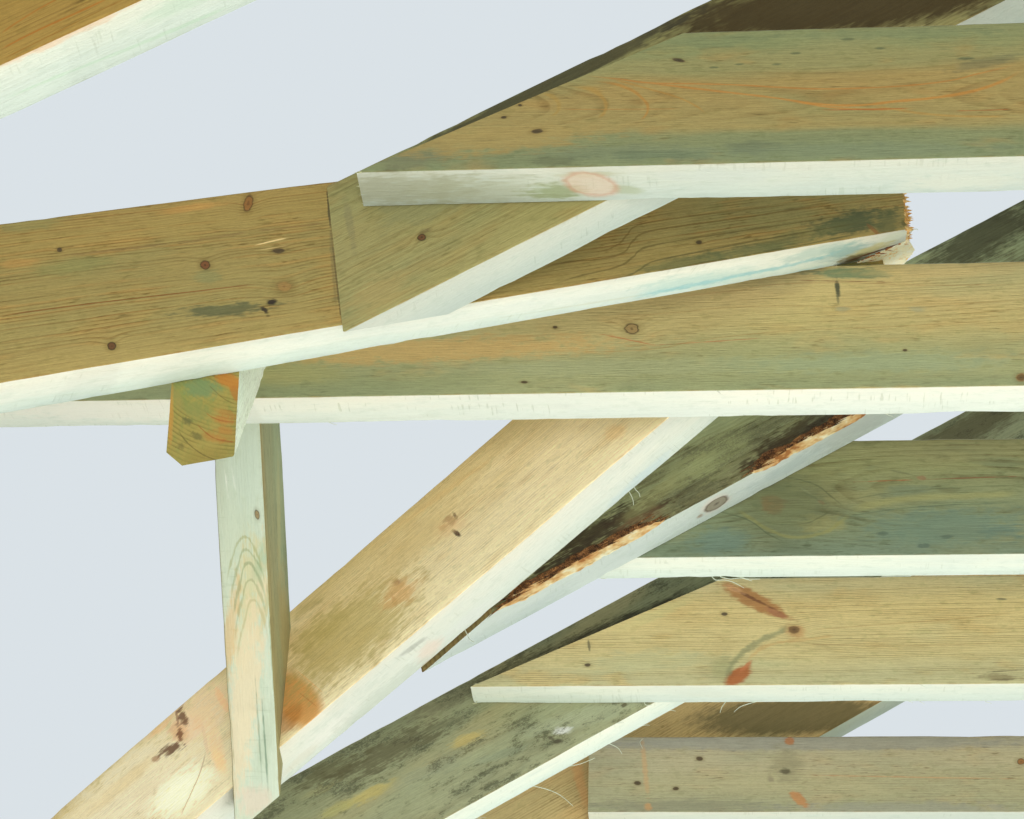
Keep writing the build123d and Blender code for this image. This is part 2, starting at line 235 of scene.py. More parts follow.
def build(tim, seed, wane=None, marks=(), extra=(), fine=(), short=None, arris=0.0016, wear=0.0022):
    """Sweep the section along the timber, wear it, and cut it to the node's planes."""
    cuts, loc = planes_of(tim)
    u0, u1 = loc[:, 0].min() - 0.004, loc[:, 0].max() + 0.004
    us = set(np.linspace(u0, u1, max(4, int((u1 - u0) / tim.step)) + 1).round(5))
    for (a, b, st) in fine:
        us |= set(np.arange(a, b, st).round(5))
    us = sorted(us)
    pts = section(tim.t, tim.d, arris, 6, 14 if tim.step < 0.03 else 5, extra=extra)
    verts, faces, slots = [], [], []
    n, m = len(us) - 1, len(pts)
    for u in us:
        u = float(u)
        for (w, v, corner) in pts:
            p = Vector((u * 3.0 + seed * 7.3, w * 30.0, v * 30.0))
            und = 0.5 + 0.5 * noise.noise(p)
            rough = 0.5 + 0.5 * noise.noise(Vector((u * 22.0 + seed, w * 60.0, v * 60.0 + 5.0)))
            push = 0.00035 * und + 0.00025 * rough
            if corner:
                k = noise.noise(Vector((u * 9.0 + seed * 3.1, round(w / tim.t) * 9.0, round(v / tim.d) * 9.0)))
                k2 = noise.noise(Vector((u * 45.0 + seed * 1.7, round(w / tim.t) * 5.0, round(v / tim.d) * 5.0)))
                push += wear * max(0.0, k * 0.8 + k2 * 0.45)
            cw, cv = w - tim.t / 2, v - tim.d / 2
            if corner:
                w2, v2 = w - cw / abs(cw) * push * 0.75, v - cv / abs(cv) * push * 0.75
            elif abs(cw) > tim.t / 2 - 1e-4:
                w2, v2 = w - math.copysign(push, cw), v
            else:
                w2, v2 = w, v - math.copysign(push, cv)
            if wane is not None:
                w2, v2 = wane(u, w2, v2)
            verts.append((u, w2, v2))
    for i in range(n):
        for j in range(m):
            a, b = i * m + j, i * m + (j + 1) % m
            faces.append((a, b, b + m, a + m))
            p, q = pts[j], pts[(j + 1) % m]
            slots.append(1 if abs(p[0] - q[0]) > abs(p[1] - q[1]) else 0)
    faces.append(tuple(range(m))[::-1])
    faces.append(tuple(range(n * m, n * m + m)))
    me = bpy.data.meshes.new("timber_" + tim.node)
    me.from_pydata(verts, [], faces)
    me.polygons.foreach_set("material_index", slots + [2, 2])
    bm = bmesh.new()
    bm.from_mesh(me)
    bmesh.ops.recalc_face_normals(bm, faces=bm.faces)
    for f in bm.faces:
        f.smooth = True
    for nrm, off in cuts:
        if short is not None and nrm @ short[0] > 0.99:
            off = off - short[1]
        geom = bm.verts[:] + bm.edges[:] + bm.faces[:]
        bmesh.ops.bisect_plane(bm, geom=geom, dist=1e-6, plane_co=Vector(nrm * off), plane_no=Vector(nrm), clear_outer=True)
        open_edges = [e for e in bm.edges if e.is_boundary]
        if open_edges:
            made = bmesh.ops.holes_fill(bm, edges=open_edges, sides=0)
            for f in made["faces"]:
                f.smooth = False
                f.material_index = 2
                for e in f.edges:
                    e.smooth = False
    bmesh.ops.triangulate(bm, faces=[f for f in bm.faces if len(f.verts) > 4])
    bmesh.ops.recalc_face_normals(bm, faces=bm.faces)
    bm.to_mesh(me)
    bm.free()
    for label, rule in marks:
        me.attributes.new(label, "FLOAT", "POINT").data.foreach_set("value", [rule(*v.co) for v in me.vertices])
    mw = Matrix.Identity(4)
    for i in range(3):
        mw[i][0], mw[i][1], mw[i][2], mw[i][3] = tim.u[i], tim.w[i], tim.v[i], tim.o[i]
    me.transform(mw)
    o = bpy.data.objects.new("timber_" + tim.node, me)
    bpy.context.scene.collection.objects.link(o)
    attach(o, "root")
    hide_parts(tim.node)
    tim.obj, tim.us = o, (u0, u1)
    return o


# ---------------------------------------------------------------------------
# Materials
# ---------------------------------------------------------------------------
def srgb(r, g, b):
    def f(c):
        c = c / 255.0
        return c / 12.92 if c <= 0.04045 else ((c + 0.055) / 1.055) ** 2.4
    return (f(r), f(g), f(b), 1.0)


class Graph:
    def __init__(self, name):
        self.mat = bpy.data.materials.new(name)
        self.mat.use_nodes = True
        self.tree = self.mat.node_tree
        self.tree.nodes.clear()

    def new(self, kind, **props):
        n = self.tree.nodes.new(kind)
        for k, v in props.items():
            setattr(n, k, v)
        return n

    def put(self, socket, value):
        if isinstance(value, bpy.types.NodeSocket):
            self.tree.links.new(value, socket)
        else:
            socket.default_value = value

    def math(self, op, a, b=0.0, c=0.0, clamp=False):
        n = self.new("ShaderNodeMath", operation=op, use_clamp=clamp)
        self.put(n.inputs[0], a)
        self.put(n.inputs[1], b)
        self.put(n.inputs[2], c)
        return n.outputs[0]

    def mul(self, *xs):
        out = xs[0]
        for x in xs[1:]:
            out = self.math("MULTIPLY", out, x)
        return out

    def vec(self, op, a, b=None, scale=None):
        n = self.new("ShaderNodeVectorMath", operation=op)
        self.put(n.inputs[0], a)
        if b is not None:
            self.put(n.inputs[1], b)
        if scale is not None:
            self.put(n.inputs["Scale"], scale)
        return n.outputs["Value"] if op in ("LENGTH", "DOT_PRODUCT", "DISTANCE") else n.outputs["Vector"]

    def xyz(self, v):
        n = self.new("ShaderNodeSeparateXYZ")
        self.put(n.inputs[0], v)
        return n.outputs[0], n.outputs[1], n.outputs[2]

    def join(self, x, y, z):
        n = self.new("ShaderNodeCombineXYZ")
        for s, v in zip(n.inputs, (x, y, z)):
            self.put(s, v)
        return n.outputs[0]

    def mix(self, fac, a, b, mode="MIX"):
        n = self.new("ShaderNodeMix", data_type="RGBA", blend_type=mode, clamp_factor=True)
        self.put(n.inputs[0], fac)
        self.put(n.inputs[6], a)
        self.put(n.inputs[7], b)
        return n.outputs[2]

    def step(self, x, lo, hi, a=0.0, b=1.0):
        n = self.new("ShaderNodeMapRange", interpolation_type="SMOOTHSTEP")
        self.put(n.inputs[0], x)
        for i, q in enumerate((lo, hi, a, b)):
            self.put(n.inputs[i + 1], q)
        return n.outputs[0]

    def ramp(self, fac, stops, mode="EASE"):
        n = self.new("ShaderNodeValToRGB")
        n.color_ramp.interpolation = mode
        e = n.color_ramp.elements
        while len(e) < len(stops):
            e.new(0.5)
        for k, (p, c) in enumerate(stops):
            e[k].position = p
            e[k].color = c
        self.put(n.inputs[0], fac)
        return n.outputs[0]

    def noise(self, v, detail=2.0, rough=0.5, colour=False):
        n = self.new("ShaderNodeTexNoise", noise_dimensions="3D")
        self.put(n.inputs["Vector"], v)
        n.inputs["Scale"].default_value = 1.0
        n.inputs["Detail"].default_value = detail
        n.inputs["Roughness"].default_value = rough
        return n.outputs["Color"] if colour else n.outputs[0]

    def stretch(self, v, s, seed=0.0):
        n = self.new("ShaderNodeMapping", vector_type="POINT")
        self.put(n.inputs[0], v)
        n.inputs["Scale"].default_value = s
        n.inputs["Location"].default_value = (seed * 3.17, seed * 1.31, seed * 2.23)
        return n.outputs[0]

    def follow(self, x, xs, ys):
        """A smooth function through points, x from 0 to 1."""
        n = self.new("ShaderNodeFloatCurve")
        lo, hi = min(ys), max(ys) + 1e-6
        c = n.mapping.curves[0]
        pts = [((a - xs[0]) / (xs[-1] - xs[0]), (b - lo) / (hi - lo)) for a, b in zip(xs, ys)]
        c.points[0].location, c.points[1].location = pts[0], pts[-1]
        for a in pts[1:-1]:
            c.points.new(*a)
        n.mapping.update()
        self.put(n.inputs["Value"], x)
        return self.math("MULTIPLY_ADD", n.outputs[0], hi - lo, lo)

    def grey(self, x):
        n = self.new("ShaderNodeCombineColor")
        for s in n.inputs[:3]:
            self.put(s, x)
        return n.outputs[0]

    def ellipse(self, v, face, s, t, rs, rt, angle=0.0):
        """Distance from the middle of an ellipse on the broad (b), narrow (e) or end (n) faces, 1 on its rim."""
        i, j = {"b": (0, 2), "e": (0, 1), "n": (1, 2)}[face]
        a, b = [0.0, 0.0, 0.0], [0.0, 0.0, 0.0]
        a[i], a[j] = math.cos(angle) / rs, math.sin(angle) / rs
        b[i], b[j] = -math.sin(angle) / rt, math.cos(angle) / rt
        q = self.join(self.vec("DOT_PRODUCT", v, tuple(a)), self.vec("DOT_PRODUCT", v, tuple(b)), 0.0)
        return self.vec("DISTANCE", q, (a[i] * s + a[j] * t, b[i] * s + b[j] * t, 0.0))


def foot_of_jack(tim, px, py):
    """Where a ray meets the near jack rafter's foot, which lies against the valley rafter's back."""
    r = ray(px, py)
    return tim.local(CAM + ((C.o + C.w * C.t - CAM) @ C.w) / (r @ C.w) * r)


def shape(tim, face, x, y, ax, ay, b):
    """An ellipse on a face, from its middle, long half-axis and short half-axis in picture points."""
    j, k = {"b": (0, 2), "f": (0, 2), "e": (0, 1), "t": (0, 1), "n": (1, 2)}[face]
    ln = math.hypot(ax, ay)
    c, m, n = (foot_of_jack(tim, *q) if face == "n" else tim.see(face, *q)
               for q in ((x, y), (x + ax, y + ay), (x - ay / ln * b, y + ax / ln * b)))
    a2 = np.array([[m[j] - c[j], n[j] - c[j]], [m[k] - c[k], n[k] - c[k]]])
    u_, s_, _ = np.linalg.svd(a2)
    ang = math.atan2(u_[1, 0], u_[0, 0])
    if ang > math.pi / 2:
        ang -= math.pi
    if ang < -math.pi / 2:
        ang += math.pi
    return {"f": "b", "t": "e"}.get(face, face), float(c[j]), float(c[k]), float(s_[0]), float(s_[1]), ang


def K(tim, kind, face, x, y, ax, ay, b):
    return (kind,) + shape(tim, face, x, y, ax, ay, b)


def S(tim, face, x, y, ax, ay, b, col, amt=0.6, rag=0.45):
    return shape(tim, face, x, y, ax, ay, b) + (srgb(*col), amt, rag)


def L(tim, face, x0, y0, x1, y1, half, col, amt=0.6, rag=0.6):
    return shape(tim, face, (x0 + x1) / 2, (y0 + y1) / 2, (x1 - x0) / 2, (y1 - y0) / 2, half) + (srgb(*col), amt, rag)


def curve(tim, face, pts, half, col, amt=0.6, rag=0.5):
    return [L(tim, face, *a, *b, half, col, amt, rag) for a, b in zip(pts, pts[1:])]


def trace(tim, face, pts, half, col, amt=0.6, rag=0.4):
    """A smooth line on a face through picture points, as one direction of the face against the other."""
    j, k = {"b": (0, 2), "f": (0, 2), "e": (0, 1), "t": (0, 1), "n": (1, 2)}[face]
    q = np.array([foot_of_jack(tim, *a) if face == "n" else tim.see(face, *a) for a in pts])
    a, b = q[:, j], q[:, k]
    flip = not (all(np.diff(a) > 0) or all(np.diff(a) < 0))
    x, y = (b, a) if flip else (a, b)
    order = np.argsort(x)
    x, y = x[order], y[order]
    ln = math.hypot(pts[1][0] - pts[0][0], pts[1][1] - pts[0][1])
    mm = np.linalg.norm(q[1] - q[0]) / ln * half
    wide = mm * np.sqrt(1.0 + np.gradient(y, x) ** 2)
    return {"f": "b", "t": "e"}.get(face, face), flip, x.tolist(), y.tolist(), wide.tolist(), srgb(*col), amt, rag


KNOTS = {
    # middle, body, rim, cover, how far the grain bends round it
    "dark": (srgb(62, 44, 30), srgb(98, 66, 40), srgb(44, 36, 26), 0.95, 1.0),
    "red": (srgb(78, 46, 28), srgb(116, 72, 42), srgb(58, 40, 26), 0.92, 1.0),
    "brown": (srgb(66, 46, 28), srgb(92, 66, 38), srgb(128, 98, 58), 0.85, 1.0),
    "ring": (srgb(96, 78, 48), srgb(150, 128, 82), srgb(70, 58, 38), 0.9, 1.0),
    "faint": (srgb(128, 84, 50), srgb(156, 118, 68), srgb(128, 104, 60), 0.6, 1.0),
    "pink": (srgb(238, 222, 188), srgb(240, 216, 184), srgb(226, 176, 142), 0.7, 0.6),
    "grey": (srgb(78, 68, 52), srgb(146, 140, 114), srgb(92, 76, 54), 0.9, 0.5),
    "pin": (srgb(52, 44, 34), srgb(70, 58, 40), srgb(96, 82, 54), 0.9, 0.7),
    "bark": (srgb(70, 44, 28), srgb(124, 80, 48), srgb(92, 62, 38), 0.9, 1.2),
    "orange": (srgb(112, 74, 38), srgb(138, 94, 48), srgb(78, 56, 30), 0.88, 1.0),
    "swirl": (srgb(108, 110, 74), srgb(110, 118, 80), srgb(104, 112, 78), 0.45, 0.8),
}


def wood(name, seed, tim, part, face, edge, end, rings, knots=(), patches=(), mottle=(), mould=0.0, dashes=0.5, ticks=0.5,
         arris_highlight=None, contrast=0.35, bands=None, lines=None, relief=1.0, bark=False, clouds=None, traces=(), gain=(1.0, 1.0, 1.0)):
    """Sawn softwood on the broad (b), narrow (e) or end (n) faces. face: colours up the broad faces;
    edge: colours across the narrow faces; rings: where the pith runs; lines: how the rings show up the broad faces."""
    g = Graph(name)
    tc = g.new("ShaderNodeTexCoord")
    q = g.vec("SUBTRACT", tc.outputs["Object"], tuple(tim.o))
    u, w, v = (g.vec("DOT_PRODUCT", q, tuple(a)) for a in (tim.u, tim.w, tim.v))
    P = g.join(u, w, v)
    knots = [k for k in knots if k[1] == part]
    patches = [p for p in patches if p[0] == part and p[7] > 0.4]

    blot = g.noise(g.stretch(P, (4.0, 15.0, 15.0), seed), 2.0, 0.55)
    blot2 = g.noise(g.stretch(P, (13.0, 38.0, 38.0), seed + 5.1), 2.0, 0.6)
    mid = g.noise(g.stretch(P, (55.0, 130.0, 130.0), seed + 2.2), 2.0, 0.7)
    fib = g.noise(g.stretch(P, (30.0, 620.0, 620.0), seed + 8.4), 2.0, 0.7)
    fuzz = g.noise(g.stretch(P, (380.0, 900.0, 900.0), seed + 1.4), 1.0, 0.7)

    # growth rings round a pith line: (across, up) at u = 0, its drift along the timber, spacing, warp, bow
    (w0, v0), (aw, av), gap, bend = rings[:4]
    wy = g.noise(g.stretch(P, (2.2, 9.0, 9.0), seed + 3.3), 1.0, 0.5)
    wz = g.noise(g.stretch(P, (2.0, 8.0, 8.0), seed + 9.3), 1.0, 0.5)
    wob = g.noise(g.stretch(P, (16.0, 45.0, 45.0), seed + 6.6), 1.0, 0.5)
    pw = g.math("MULTIPLY_ADD", u, aw, w0)
    if len(rings) > 4:
        uc, bow = rings[4]
        d_ = g.math("SUBTRACT", u, uc)
        pw = g.math("MULTIPLY_ADD", g.math("MULTIPLY", d_, d_), bow, pw)
    dw = g.math("MULTIPLY_ADD", wy, bend, g.math("SUBTRACT", w, pw))
    dv = g.math("MULTIPLY_ADD", wz, bend, g.math("SUBTRACT", v, g.math("MULTIPLY_ADD", u, av, v0)))
    r = g.vec("LENGTH", g.join(dw, dv, 0.0))
    r = g.math("MULTIPLY_ADD", wob, gap * 0.8, r)
    dists = []
    for (kind, f, s, t, rs, rt, ang) in knots:
        d = g.ellipse(P, f, s, t, rs, rt, ang)
        dists.append(d)
        flow = g.math("EXPONENT", g.math("MULTIPLY", g.math("MULTIPLY", d, d), -0.10 / KNOTS[kind][4]))
        r = g.math("MULTIPLY_ADD", flow, min(rt, 0.010) * 1.1 * KNOTS[kind][4], r)
    ph = g.math("DIVIDE", r, gap)
    fr = g.math("FRACT", ph)
    yearly = g.noise(g.join(g.math("MULTIPLY", g.math("FLOOR", ph), 3.7), seed * 1.7, 0.0), 0.0, 0.5)
    seen = g.step(g.math("MULTIPLY_ADD", yearly, 0.8, blot2), 0.70, 1.1, 0.15, 1.2)
    late = g.mul(g.step(fr, 0.30, 0.88), g.step(fr, 0.90, 1.0, 1.0, 0.0), seen)
    ragged = g.math("ADD", g.math("MULTIPLY_ADD", mid, 1.3, -1.0), g.math("MULTIPLY", fib, 0.7))

    if part == "b":
        h = g.math("ADD", g.math("DIVIDE", v, tim.d), g.math("MULTIPLY_ADD", blot, 0.32, -0.16))
        col = g.ramp(h, face)
        for (tone, lo, hi, amt, which) in mottle:
            col = g.mix(g.step({"a": blot, "b": blot2, "c": mid}[which], lo, hi, 0.0, amt), col, tone)
        if lines:
            late = g.math("MULTIPLY", late, g.ramp(h, [(p, (k, k, k, 1.0)) for p, k in lines]))
        if bands:
            (tone, wide, amt) = bands
            f2 = g.math("FRACT", g.math("DIVIDE", r, wide))
            bd = g.mul(g.step(f2, 0.62, 0.90), g.step(f2, 0.92, 1.0, 1.0, 0.0), g.step(blot2, 0.36, 0.6, 0.0, amt))
            if lines:
                bd = g.math("MULTIPLY", bd, g.ramp(h, [(p, (k, k, k, 1.0)) for p, k in lines]))
            col = g.mix(bd, col, tone)
        col = g.mix(g.math("MULTIPLY", late, contrast), col, g.vec("MULTIPLY", col, srgb(164, 138, 96)[:3]))
        dash = g.noise(g.stretch(P, (60.0, 420.0, 420.0), seed + 4.9), 1.0, 0.6)
        col = g.mix(g.mul(g.step(dash, 0.58, 0.74), g.step(blot2, 0.35, 0.65, 0.0, dashes)), col, g.vec("MULTIPLY", col, srgb(160, 152, 126)[:3]))
        col = g.mix(g.step(mid, 0.52, 0.72, 0.0, 0.34), col, g.vec("MULTIPLY", col, srgb(178, 186, 168)[:3]))
    elif part == "e":
        col = g.ramp(g.math("ADD", g.math("DIVIDE", w, tim.t), g.math("MULTIPLY_ADD", blot2, 0.5, -0.25)), edge)
        soft = g.step(g.math("MULTIPLY_ADD", mid, 0.35, blot), 0.52, 0.86, 0.0, 0.55)
        col = g.mix(soft, col, clouds if clouds else srgb(216, 226, 210))
        col = g.mix(g.math("MULTIPLY", late, contrast * 0.16), col, g.vec("MULTIPLY", col, srgb(206, 194, 156)[:3]))
        tick = g.noise(g.stretch(P, (330.0, 26.0, 26.0), seed + 9.2), 1.0, 0.5)
        tick = g.mul(g.step(tick, 0.60, 0.70), g.step(g.noise(g.stretch(P, (7.0, 60.0, 60.0), seed + 7.7), 0.0, 0.5), 0.50, 0.62, 0.0, ticks))
        col = g.mix(g.math("MULTIPLY", tick, 0.5), col, g.vec("MULTIPLY", col, srgb(206, 210, 194)[:3]))
        col = g.mix(g.step(mid, 0.50, 0.72, 0.0, 0.30), col, g.vec("MULTIPLY", col, srgb(224, 230, 222)[:3]))
    else:
        col = g.ramp(g.math("MULTIPLY_ADD", blot, 0.6, g.math("MULTIPLY", mid, 0.5)), [(0.42, end[0]), (0.68, end[1])])
        col = g.mix(g.math("MULTIPLY", late, 0.45), col, end[2])

    shifts = {}
    for (f, s, t, rs, rt, ang, tone, amt, rag) in patches:
        if rag not in shifts:
            shifts[rag] = g.math("MULTIPLY", ragged, 2.4 * rag)
        d = g.math("ADD", g.ellipse(P, f, s, t, rs, rt, ang), shifts[rag])
        soft = (0.45, 1.25) if rag >= 0.45 else (0.62, 1.12)
        col = g.mix(g.step(d, soft[0], soft[1], amt, 0.0), col, tone)

    for (f, flip, xs, ys, wide, tone, amt, rag) in traces:
        if f != part:
            continue
        a, b = {"b": (u, v), "e": (u, w), "n": (w, v)}[f]
        x, y = (b, a) if flip else (a, b)
        x = g.math("MULTIPLY_ADD", x, 1.0 / (xs[-1] - xs[0]), -xs[0] / (xs[-1] - xs[0]))
        d = g.math("DIVIDE", g.math("ABSOLUTE", g.math("SUBTRACT", y, g.follow(x, xs, ys))), g.follow(x, xs, wide))
        if rag not in shifts:
            shifts[rag] = g.math("MULTIPLY", ragged, 2.4 * rag)
        fade = g.step(g.math("PINGPONG", g.math("MINIMUM", g.math("MAXIMUM", x, 0.0), 1.0), 0.5), 0.0, 0.12, 0.0, amt)
        col = g.mix(g.math("MULTIPLY", g.step(g.math("ADD", d, shifts[rag]), 0.25, 1.35, 1.0, 0.0), fade), col, tone)

    if mould and part == "b":
        spots = g.math("MULTIPLY_ADD", blot2, 0.9, g.math("MULTIPLY_ADD", mid, 0.6, g.math("MULTIPLY", fuzz, 0.5)))
        col = g.mix(g.step(spots, 1.02, 1.22, 0.0, mould), col, srgb(58, 56, 40))

    for (kind, f, s, t, rs, rt, ang), d in zip(knots, dists):
        mid_c, body, rim, cover, _ = KNOTS[kind]
        dd = g.math("ADD", d, g.math("MULTIPLY_ADD", mid, *((0.4, -0.2) if kind in ("pink", "grey") else (1.0, -0.5))))
        ring = g.math("MULTIPLY_ADD", g.math("SINE", g.math("MULTIPLY", dd, 13.0)), 0.5, 0.5)
        kc = g.ramp(dd, [(0.0, mid_c), (0.42, body), (0.74, body), (0.93, rim)])
        kc = g.mix(g.math("MULTIPLY", ring, 0.12), kc, rim)
        halo = g.step(dd, 1.0, 2.3, 0.3 if kind not in ("pink", "grey") else 0.12, 0.0)
        col = g.mix(halo, col, g.vec("MULTIPLY", col, srgb(178, 162, 128)[:3]))
        col = g.mix(g.step(dd, 0.86, 1.25, cover, 0.0), col, kc)

    # fibres, fuzz, worn arrises, and a pale band along the broad faces' arrises that is a painted highlight
    if part == "b":
        tex = g.math("MULTIPLY_ADD", mid, 0.34, g.math("MULTIPLY_ADD", fib, 0.34, g.math("MULTIPLY_ADD", fuzz, 0.22, 0.55)))
        col = g.vec("SCALE", col, scale=tex)
        lo = g.math("MINIMUM", v, g.math("SUBTRACT", tim.d, v))
        # painted highlight: a paler band along both long arrises of the broad face
        if arris_highlight:
            tone, wide, amt = arris_highlight
            col = g.mix(g.step(g.math("MULTIPLY_ADD", mid, wide, lo), wide * 0.5, wide * 1.0, amt, 0.0), col, tone)
        col = g.mix(g.step(g.math("MULTIPLY_ADD", mid, 0.006, lo), 0.0028, 0.0056, 0.4, 0.0), col, g.vec("MULTIPLY", col, srgb(196, 166, 118)[:3]))
    elif part == "e":
        tex = g.math("MULTIPLY_ADD", mid, 0.10, g.math("MULTIPLY_ADD", fib, 0.10, g.math("MULTIPLY_ADD", fuzz, 0.10, 0.85)))
        col = g.vec("SCALE", col, scale=tex)
        lo = g.math("MINIMUM", w, g.math("SUBTRACT", tim.t, w))
        lo = g.step(g.math("MULTIPLY_ADD", mid, 0.006, lo), 0.0030, 0.0058, 0.5, 0.0)
        col = g.mix(g.math("MULTIPLY", lo, g.step(blot2, 0.4, 0.6)), col, g.vec("MULTIPLY", col, srgb(206, 196, 160)[:3]))
    # scale by the timber's multiplier for this kind of face: partly its own tone, partly painted light and shade
    k = gain["ben".index(part)]
    col = g.vec("MULTIPLY", col, k if isinstance(k, tuple) else (k, k, k))

    if bark and part != "n":
        tags = []
        grain = g.math("MULTIPLY_ADD", g.math("ADD", mid, fib), 0.5, -0.5)
        for label in ("bark", "clean"):
            n_ = g.new("ShaderNodeAttribute", attribute_type="GEOMETRY", attribute_name=label)
            tags.append(g.math("ADD", n_.outputs["Fac"], grain))
        strip = g.ramp(g.math("MULTIPLY_ADD", fib, 0.6, g.math("MULTIPLY", mid, 0.5)),
                       [(0.42, srgb(30, 21, 14)), (0.50, srgb(68, 44, 26)), (0.58, srgb(112, 72, 40)), (0.68, srgb(168, 118, 68))])
        col = g.mix(g.step(tags[0], 0.30, 0.55, 0.0, 0.94), col, strip)
        clean = g.ramp(g.math("MULTIPLY_ADD", mid, 0.6, g.math("MULTIPLY", blot2, 0.5)),
                       [(0.44, srgb(152, 102, 54)), (0.52, srgb(194, 154, 98)), (0.60, srgb(212, 188, 136)), (0.68, srgb(218, 212, 176))])
        col = g.mix(g.step(tags[1], 0.30, 0.55), col, clean)

    # relief
    hgt = g.math("MULTIPLY_ADD", mid, 0.9, g.math("MULTIPLY", fib, 1.1))
    if part == "e":
        hgt = g.math("MULTIPLY_ADD", tick, -0.35, hgt)
    if bark and part != "n":
        hgt = g.math("ADD", hgt, g.mul(tags[0], fib, 1.6))
    bump = g.new("ShaderNodeBump")
    bump.inputs["Strength"].default_value = 0.6 * relief
    bump.inputs["Distance"].default_value = 0.0010
    g.put(bump.inputs["Height"], hgt)
    sh = g.new("ShaderNodeBsdfPrincipled")
    g.put(sh.inputs["Base Color"], col)
    g.put(sh.inputs["Roughness"], g.math("MULTIPLY_ADD", blot2, 0.25, 0.68))
    sh.inputs["Specular IOR Level"].default_value = 0.25
    g.put(sh.inputs["Normal"], bump.outputs[0])
    out = g.new("ShaderNodeOutputMaterial")
    g.put(out.inputs[0], sh.outputs[0])
    return g.mat


# Pale narrow faces: partly the fresher wood's own colour, partly painted light, with the undersides painted pale as if
# lit from below; the same holds for the other looks' edge colours
CREAM = [(0.0, srgb(238, 238, 214)), (0.4, srgb(234, 239, 217)), (0.75, srgb(224, 234, 215)), (1.0, srgb(212, 225, 207))]
END = (srgb(128, 126, 76), srgb(168, 142, 78), srgb(104, 82, 42))
GREEN = srgb(130, 138, 92)

